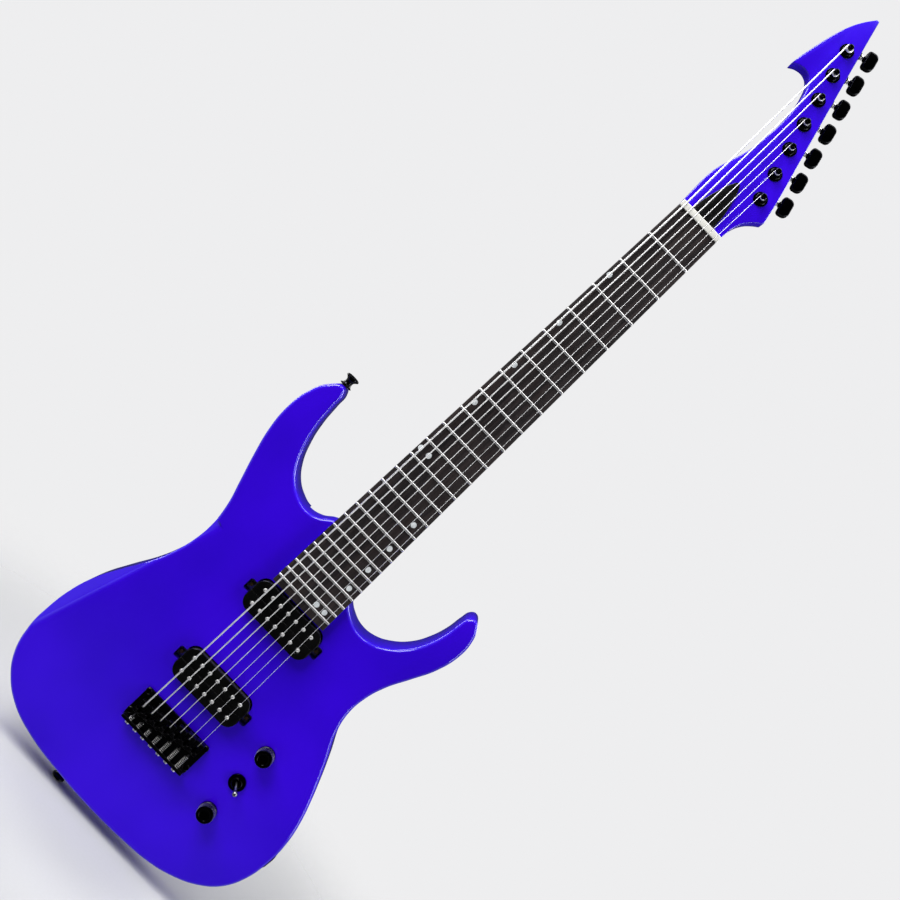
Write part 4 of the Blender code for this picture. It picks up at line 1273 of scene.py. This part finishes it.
for name, spot, turn in (("strap_button_horn", (-119.5, -340.2, MID_DEPTH), -90),
                         ("strap_button_tail", (-40.0, -797.2, MID_DEPTH), 90)):
    place = BENCH @ Matrix.Translation(spot) @ Matrix.Rotation(math.radians(turn), 4, "X")
    piece(name, make_strap_button(), place, BLACK_CHROME, stands_for=(name,),
          slot="black_metal")


def make_ferrule_plate():
    cuts = [rod(1.7, -60, -40, 20, (x, y, 0)) for x, y in zip(BRIDGE_LANES, TAIL_ROW)]
    cuts += [turned([(0, -44.0), (1.7, -45.4), (3.2, -47.0), (3.2, -50), (0, -50)], 24,
                    (x, y, 0)) for x, y in zip(BRIDGE_LANES, TAIL_ROW)]
    return carve(plate(FERRULE_RING, BODY_BACK - 0.4, BODY_BACK + 2.9), cut=cuts,
                 soften=(0.3, 2, 40))


piece("string_ferrule_plate", make_ferrule_plate(), BENCH, BLACK_SATIN,
      stands_for=("string_ferrule_plate",), slot="black_metal")
COVER_SCREWS = [(61.5, -618), (104.5, -618), (61.5, -735), (104.5, -735), (58.8, -676.5),
                (107.2, -676.5)]
cavity_cover = plate(ring_points((56.3, 109.7), (-740.7, -612.3), 15.7, 12), -46.5, -44.6)
countersinks = [turned([(0, -44.0), (1.2, -44.0), (1.2, -45.2), (2.6, -46.6), (2.6, -50),
                        (0, -50)],
                       24, (x, y, 0)) for x, y in COVER_SCREWS]
piece("control_cavity_cover", carve(cavity_cover, cut=countersinks, soften=(0.3, 2, 50)), BENCH,
      BLACK_PLASTIC, stands_for=("control_cavity_cover",), slot="black_plastic")
BACK = Matrix.Translation((0, 0, BODY_BACK)) @ Matrix.Rotation(math.pi, 4, "X")
screw_spots = [(x, -y, -0.75) for x, y in COVER_SCREWS]
piece("back_cover_screws", copies(screw_blank(2.45, 0.9), screw_spots, BLACK_CHROME, 3.1, 3),
      BENCH @ BACK, BLACK_CHROME)
print("jack, buttons and back plates placed")

# %% [markdown]
# A tuner is a closed gear box under the headstock. Its bushing comes up through the wood
# and is clamped by a hex nut on a washer. The string goes through a hole in the post and
# takes a few turns round its waist. The button turns a worm, which turns the post.

# %% Tuners
WORM_OFFSET = 14.0
WORM_LEVEL = -HEAD_THICK - 5.6
HOUSING_BACK = -HEAD_THICK - 11.0
STRING_LEVEL = 8.3
POST_TOP = 11.5


def make_housing():
    ring = ring_points((-9.0, 15.6), (-7.8, 19.2), (3.0, 3.0, 4.6, 4.6), 8)
    box = plate(ring, HOUSING_BACK, -HEAD_THICK - GAP)
    collar = rod(3.6, 12, 17.2, 32, (0, WORM_OFFSET, WORM_LEVEL), "X")
    bushing = turned([(0, 2.6), (4.3, 2.6), (4.7, 2.2), (4.7, 0.3), (4.9, GAP),
                      (4.9, -HEAD_THICK - 2), (0, -HEAD_THICK - 2)], 40)
    cuts = [rod(3.25, -HEAD_THICK - 8, 10, 40),
            rod(2.3, 6, 20, 24, (0, WORM_OFFSET, WORM_LEVEL), "X")]
    return carve(box, join=[collar, bushing], cut=cuts, soften=(0.9, 4, 50))


def make_washer_and_nut():
    washer = turned([(7.0, 0.75), (7.2, 0.5), (7.2, 0.12), (4.75, 0.12), (4.75, 0.9),
                     (6.2, 0.9), (7.0, 0.75)], 56)
    dome = turned([(0, 2.9), (4.6, 2.9), (5.6, 2.4), (6.2, 1.7), (6.2, 0), (0, 0)], 48)
    hex_nut = carve(plate(hexagon(6.1, 20), 0.95, 2.9), cut=[rod(4.75, 0, 5, 48)],
                    keep=[dome], soften=(0.2, 2, 50))
    return together(carve(washer), hex_nut)


def make_post(number):
    top = POST_TOP
    profile = [(0, top), (2.2, top), (2.75, top - 0.3), (3.0, top - 0.8), (3.0, top - 1.8),
               (2.75, top - 2.4), (2.35, top - 3.0), (2.25, 7.8), (2.25, 5.8), (2.4, 5.2),
               (2.9, 4.5), (3.0, 4.0), (3.0, -HEAD_THICK - 7.5), (0, -HEAD_THICK - 7.5)]
    hole = rod(0.8 + 0.25 * STRING_RADII[number], -6, 6, 24, (0, 0, 8.2), "X")
    slot = rod(1.0, top - 1.1, 20, 24)
    return carve(turned(profile, 48), cut=[hole, slot], soften=(0.12, 2, 60))


def make_button():
    """A kidney-shaped key with a waist where it meets its shaft."""
    ring = ring_points((21.5, 33.5), (-9.6, 9.6), (5.6, 5.6, 3.4, 3.4), 10)
    key = plate(ring, -3.9, 3.9)
    neck_of_key = turned([(0, 22.6), (3.3, 22.6), (3.2, 21.0), (2.6, 20.2), (2.0, 20.0),
                          (2.0, 7.0), (0, 7.0)], 32, axis="X")
    return carve(key, join=[neck_of_key], soften_first=(1.9, 5, 50))


def coil_of_string(number):
    """The turns that the string takes round the waist of its post."""
    radius = STRING_RADII[number]
    turns = 1.6 if number < WOUND_STRINGS else 2.8
    height = turns * radius * 2.15
    mesh = COIL.make(bmesh.new(), STRING_FINISH[number], Turns=turns, Radius=2.42 + radius,
                     Height=height, Wire=radius)
    mesh.transform(Matrix.Translation((0, 0, STRING_LEVEL - height)))
    return mesh


HOUSING_SCREWS = [(-5.0, -14.0, 0), (10.5, 3.0, 0)]
STRING_FINISH = WOUND_STEEL + [PLAIN_STEEL] * (TUNERS - WOUND_STRINGS)
button_shape, housing_shape = make_button(), make_housing()
for number, (px, py) in enumerate(POSTS):
    here = HEAD @ Matrix.Translation((px, py, 0)) @ Matrix.Rotation(EDGE_ANGLE, 4, "Z")
    label = number + 1
    piece(f"tuner_housing_{label}", housing_shape.copy(), here, BLACK_SATIN,
          stands_for=(f"tuner_housing_{label}",), slot="black_metal")
    piece(f"tuner_nut_{label}", make_washer_and_nut(),
          here @ Matrix.Rotation(0.7 * number, 4, "Z"), BLACK_CHROME)
    behind = here @ Matrix.Translation((0, 0, HOUSING_BACK)) @ Matrix.Rotation(math.pi, 4, "X")
    piece(f"tuner_screw_{label}", copies(screw_blank(1.7, 0.8), HOUSING_SCREWS, BLACK_CHROME,
                                         3.1, label), behind, BLACK_CHROME)
    piece(f"tuner_post_{label}", make_post(number), here, BLACK_CHROME,
          body=f"tuner_post_{label}", stands_for=(f"tuner_post_{label}",),
          slot="black_metal")
    piece(f"string_turns_{label}", coil_of_string(number), here,
          STRING_FINISH[number], body=f"tuner_post_{label}")
    axle = here @ Matrix.Translation((0, WORM_OFFSET, WORM_LEVEL))
    piece(f"tuner_button_{label}", button_shape.copy(), axle, BLACK_CHROME,
          body=f"tuner_button_{label}", stands_for=(f"tuner_button_{label}",),
          slot="black_metal")
    collar = turned([(2.05, 15.9), (3.0, 15.9), (3.3, 16.2), (3.3, 17.3), (2.7, 17.7),
                     (2.7, 19.3), (2.05, 19.3), (2.05, 15.9)], 32, axis="X")
    piece(f"tuner_collar_{label}", collar, axle, SCREW_STEEL, body=f"tuner_button_{label}")
print("tuners placed")

# %% [markdown]
# Each string is a tube along its real path: off the side of its post, down over the nut,
# straight to the saddle, over its lip and down through the body. It is laid in straight
# runs that meet at its bends. The four thick strings are wound, so they carry the ripple.

# %% Strings
def string_path(number):
    radius = STRING_RADII[number]
    x_nut, x_end = lane(number, 0), BRIDGE_LANES[number]
    nut_level = BOARD_THICK + 1.6 - crown(x_nut) + GAP + radius
    end_level = SADDLE_TOPS[number] + 0.25 + radius
    px, py = POSTS[number]
    post = HEAD_TURN @ Vector((px - 2.42 - radius, py, STRING_LEVEL))
    w = WITNESS[number]
    return [post, Vector((x_nut, NUT_THICK, nut_level)), Vector((x_nut, 0, nut_level)),
            Vector((x_end, w + 1.0, end_level)), Vector((x_end, w - 2.6, end_level)),
            Vector((x_end, w - 3.7, end_level - 0.7)),
            Vector((x_end, TAIL_ROW[number] + 0.4, PLATE_TOP + 2.2)),
            Vector((x_end, TAIL_ROW[number], PLATE_TOP + 0.6)),
            Vector((x_end, TAIL_ROW[number], BODY_BACK + 3.4))]


def make_string(number):
    data = bpy.data.curves.new("string", "CURVE")
    data.dimensions = "3D"
    data.bevel_depth = STRING_RADII[number]
    data.bevel_resolution = 3
    data.use_fill_caps = True
    path = string_path(number)
    spline = data.splines.new("POLY")
    spline.points.add(len(path) - 1)
    for point, spot in zip(spline.points, path):
        point.co = (*spot, 1.0)
    curve = bpy.data.objects.new("string", data)
    scene.collection.objects.link(curve)
    mesh = evaluated(curve)
    bpy.data.objects.remove(curve)
    return mesh


for number in range(TUNERS):
    piece(f"string_{number + 1}", make_string(number), BENCH, STRING_FINISH[number],
          stands_for=(f"string_{number + 1}",), slot="string_steel", sharp=80)
print("strings placed, from", 2 * STRING_RADII[0], "to", 2 * STRING_RADII[-1], "mm thick")

# %% [markdown]
# The guitar is shown on a pale ground under soft light. The ground only meets the tail
# and fades into the background, so it stays plain from every side. The world looks pale
# to the camera but is dim in reflections, because glossy paint needs something dark to
# reflect before its colour shows. Large soft lamps at the sides draw the edges.

# %% Floor and world
def pale_floor():
    p = Paint("floor_paper", Specular_IOR_Level=0.05)
    spot = p.add("ShaderNodeTexCoord", out=3)
    reach = p.add("ShaderNodeVectorMath", {"operation": "LENGTH"}, (spot,), out=0)
    fibre = p.noise(3.0, 3.0)
    tone = p.mix(fibre, (0.48, 0.48, 0.48), (0.51, 0.51, 0.51))
    fade = reach.step(0.14, 0.60, 1.0, 0.0)
    mirrored = p.add("ShaderNodeLightPath", out=3)
    return p.set(Base_Color=tone, Roughness=0.85 + fibre * 0.05,
                 Alpha=fade * (1.0 - mirrored),
                 Normal=p.bump(fibre, 0.02, 0.2))


FLOOR_LEVEL = cad_box[0][2] - 0.001
disc = turned([(0, 0), (1.0, 0), (1.0, -0.004), (0, -0.004)], 96)
floor_mesh = bpy.data.meshes.new("floor")
disc.to_mesh(floor_mesh)
disc.free()
floor_mesh.materials.append(pale_floor())
floor = bpy.data.objects.new("floor", floor_mesh)
floor.location = (0.0, 0.02, FLOOR_LEVEL)
scene.collection.objects.link(floor)


def studio_world():
    """Pale to the camera; in reflections dark straight ahead and brighter to the sides."""
    world = bpy.data.worlds.new("studio")
    world.use_nodes = True
    nodes, links = world.node_tree.nodes, world.node_tree.links
    backdrop = nodes["Background"]
    backdrop.inputs["Color"].default_value = (0.90, 0.90, 0.91, 1)
    backdrop.inputs["Strength"].default_value = 0.95
    room = nodes.new("ShaderNodeBackground")
    room.inputs["Color"].default_value = (0.80, 0.82, 0.86, 1)
    parts = nodes.new("ShaderNodeSeparateXYZ")
    links.new(nodes.new("ShaderNodeTexCoord").outputs["Generated"], parts.inputs[0])
    ahead = nodes.new("ShaderNodeMath")
    ahead.operation = "ABSOLUTE"
    links.new(parts.outputs["Y"], ahead.inputs[0])
    level = nodes.new("ShaderNodeMapRange")
    level.interpolation_type = "SMOOTHSTEP"
    for name, value in (("From Min", 0.30), ("From Max", 0.66), ("To Min", 0.66),
                        ("To Max", 0.04)):
        level.inputs[name].default_value = value
    links.new(ahead.outputs[0], level.inputs["Value"])
    links.new(level.outputs[0], room.inputs["Strength"])
    choose = nodes.new("ShaderNodeMixShader")
    links.new(nodes.new("ShaderNodeLightPath").outputs["Is Camera Ray"],
              choose.inputs["Fac"])
    links.new(room.outputs[0], choose.inputs[1])
    links.new(backdrop.outputs[0], choose.inputs[2])
    links.new(choose.outputs[0], nodes["World Output"].inputs["Surface"])
    return world


scene.world = studio_world()

# %% [markdown]
# The key lamp stands high on the left, where its mirror image misses the flat faces. The
# fill reaches low on the right, so that the strings over the body catch it. The top lamp
# lights the headstock, and two lamps behind draw the edges.

# %% Lamps
def lamp(name, at, towards, size, power, colour=(1, 1, 1)):
    data = bpy.data.lights.new(name, "AREA")
    data.shape = "RECTANGLE"
    data.size, data.size_y = size
    data.energy = power
    data.color = colour
    obj = bpy.data.objects.new(name, data)
    aim = Vector(towards) - Vector(at)
    obj.matrix_world = Matrix.Translation(at) @ aim.to_track_quat("-Z", "Y").to_matrix().to_4x4()
    scene.collection.objects.link(obj)
    return obj


BODY_MIDDLE = (0.0, 0.0, -0.30)
lamp("key", (-1.7, -1.0, 1.3), (0.0, 0.0, 0.1), (1.5, 1.7), 90)
lamp("fill", (1.9, -0.9, -0.1), (0.0, 0.0, -0.2), (0.7, 2.0), 24, (0.96, 0.98, 1.0))
lamp("top", (0.1, -0.35, 1.9), (0.0, 0.0, 0.0), (1.2, 0.7), 18)
lamp("rim_left", (-1.8, 1.1, 0.2), BODY_MIDDLE, (0.7, 1.6), 22)
lamp("rim_right", (1.6, 1.4, 0.6), BODY_MIDDLE, (0.9, 1.4), 26)
scene.view_settings.view_transform = "Standard"

# %% [markdown]
# The camera stands about a metre and a quarter in front of the face and is rolled so
# that the neck points to the upper right corner.

# %% Camera
CAMERA_PLACE = (-0.02027, -1.24043, -0.23265)
CAMERA_LENS, CAMERA_SENSOR = 53.14, 36.0
CAMERA_AXIS = Vector((2.94432119, 1.25896687, -0.02226956))


def camera_turn():
    """The right, up and backward directions of the camera, in the upright frame."""
    rows = Matrix.Rotation(CAMERA_AXIS.length, 3, CAMERA_AXIS.normalized())
    right, down, ahead = (Vector((x, -z, y)) for x, y, z in rows)
    return Matrix((right, -down, -ahead)).transposed()


camera_data = bpy.data.cameras.new("camera")
camera_data.sensor_width = CAMERA_SENSOR
camera_data.lens = CAMERA_LENS
camera_data.clip_start = 0.05
camera = bpy.data.objects.new("camera", camera_data)
camera.matrix_world = Matrix.Translation(CAMERA_PLACE) @ camera_turn().to_4x4()
scene.collection.objects.link(camera)
scene.camera = camera
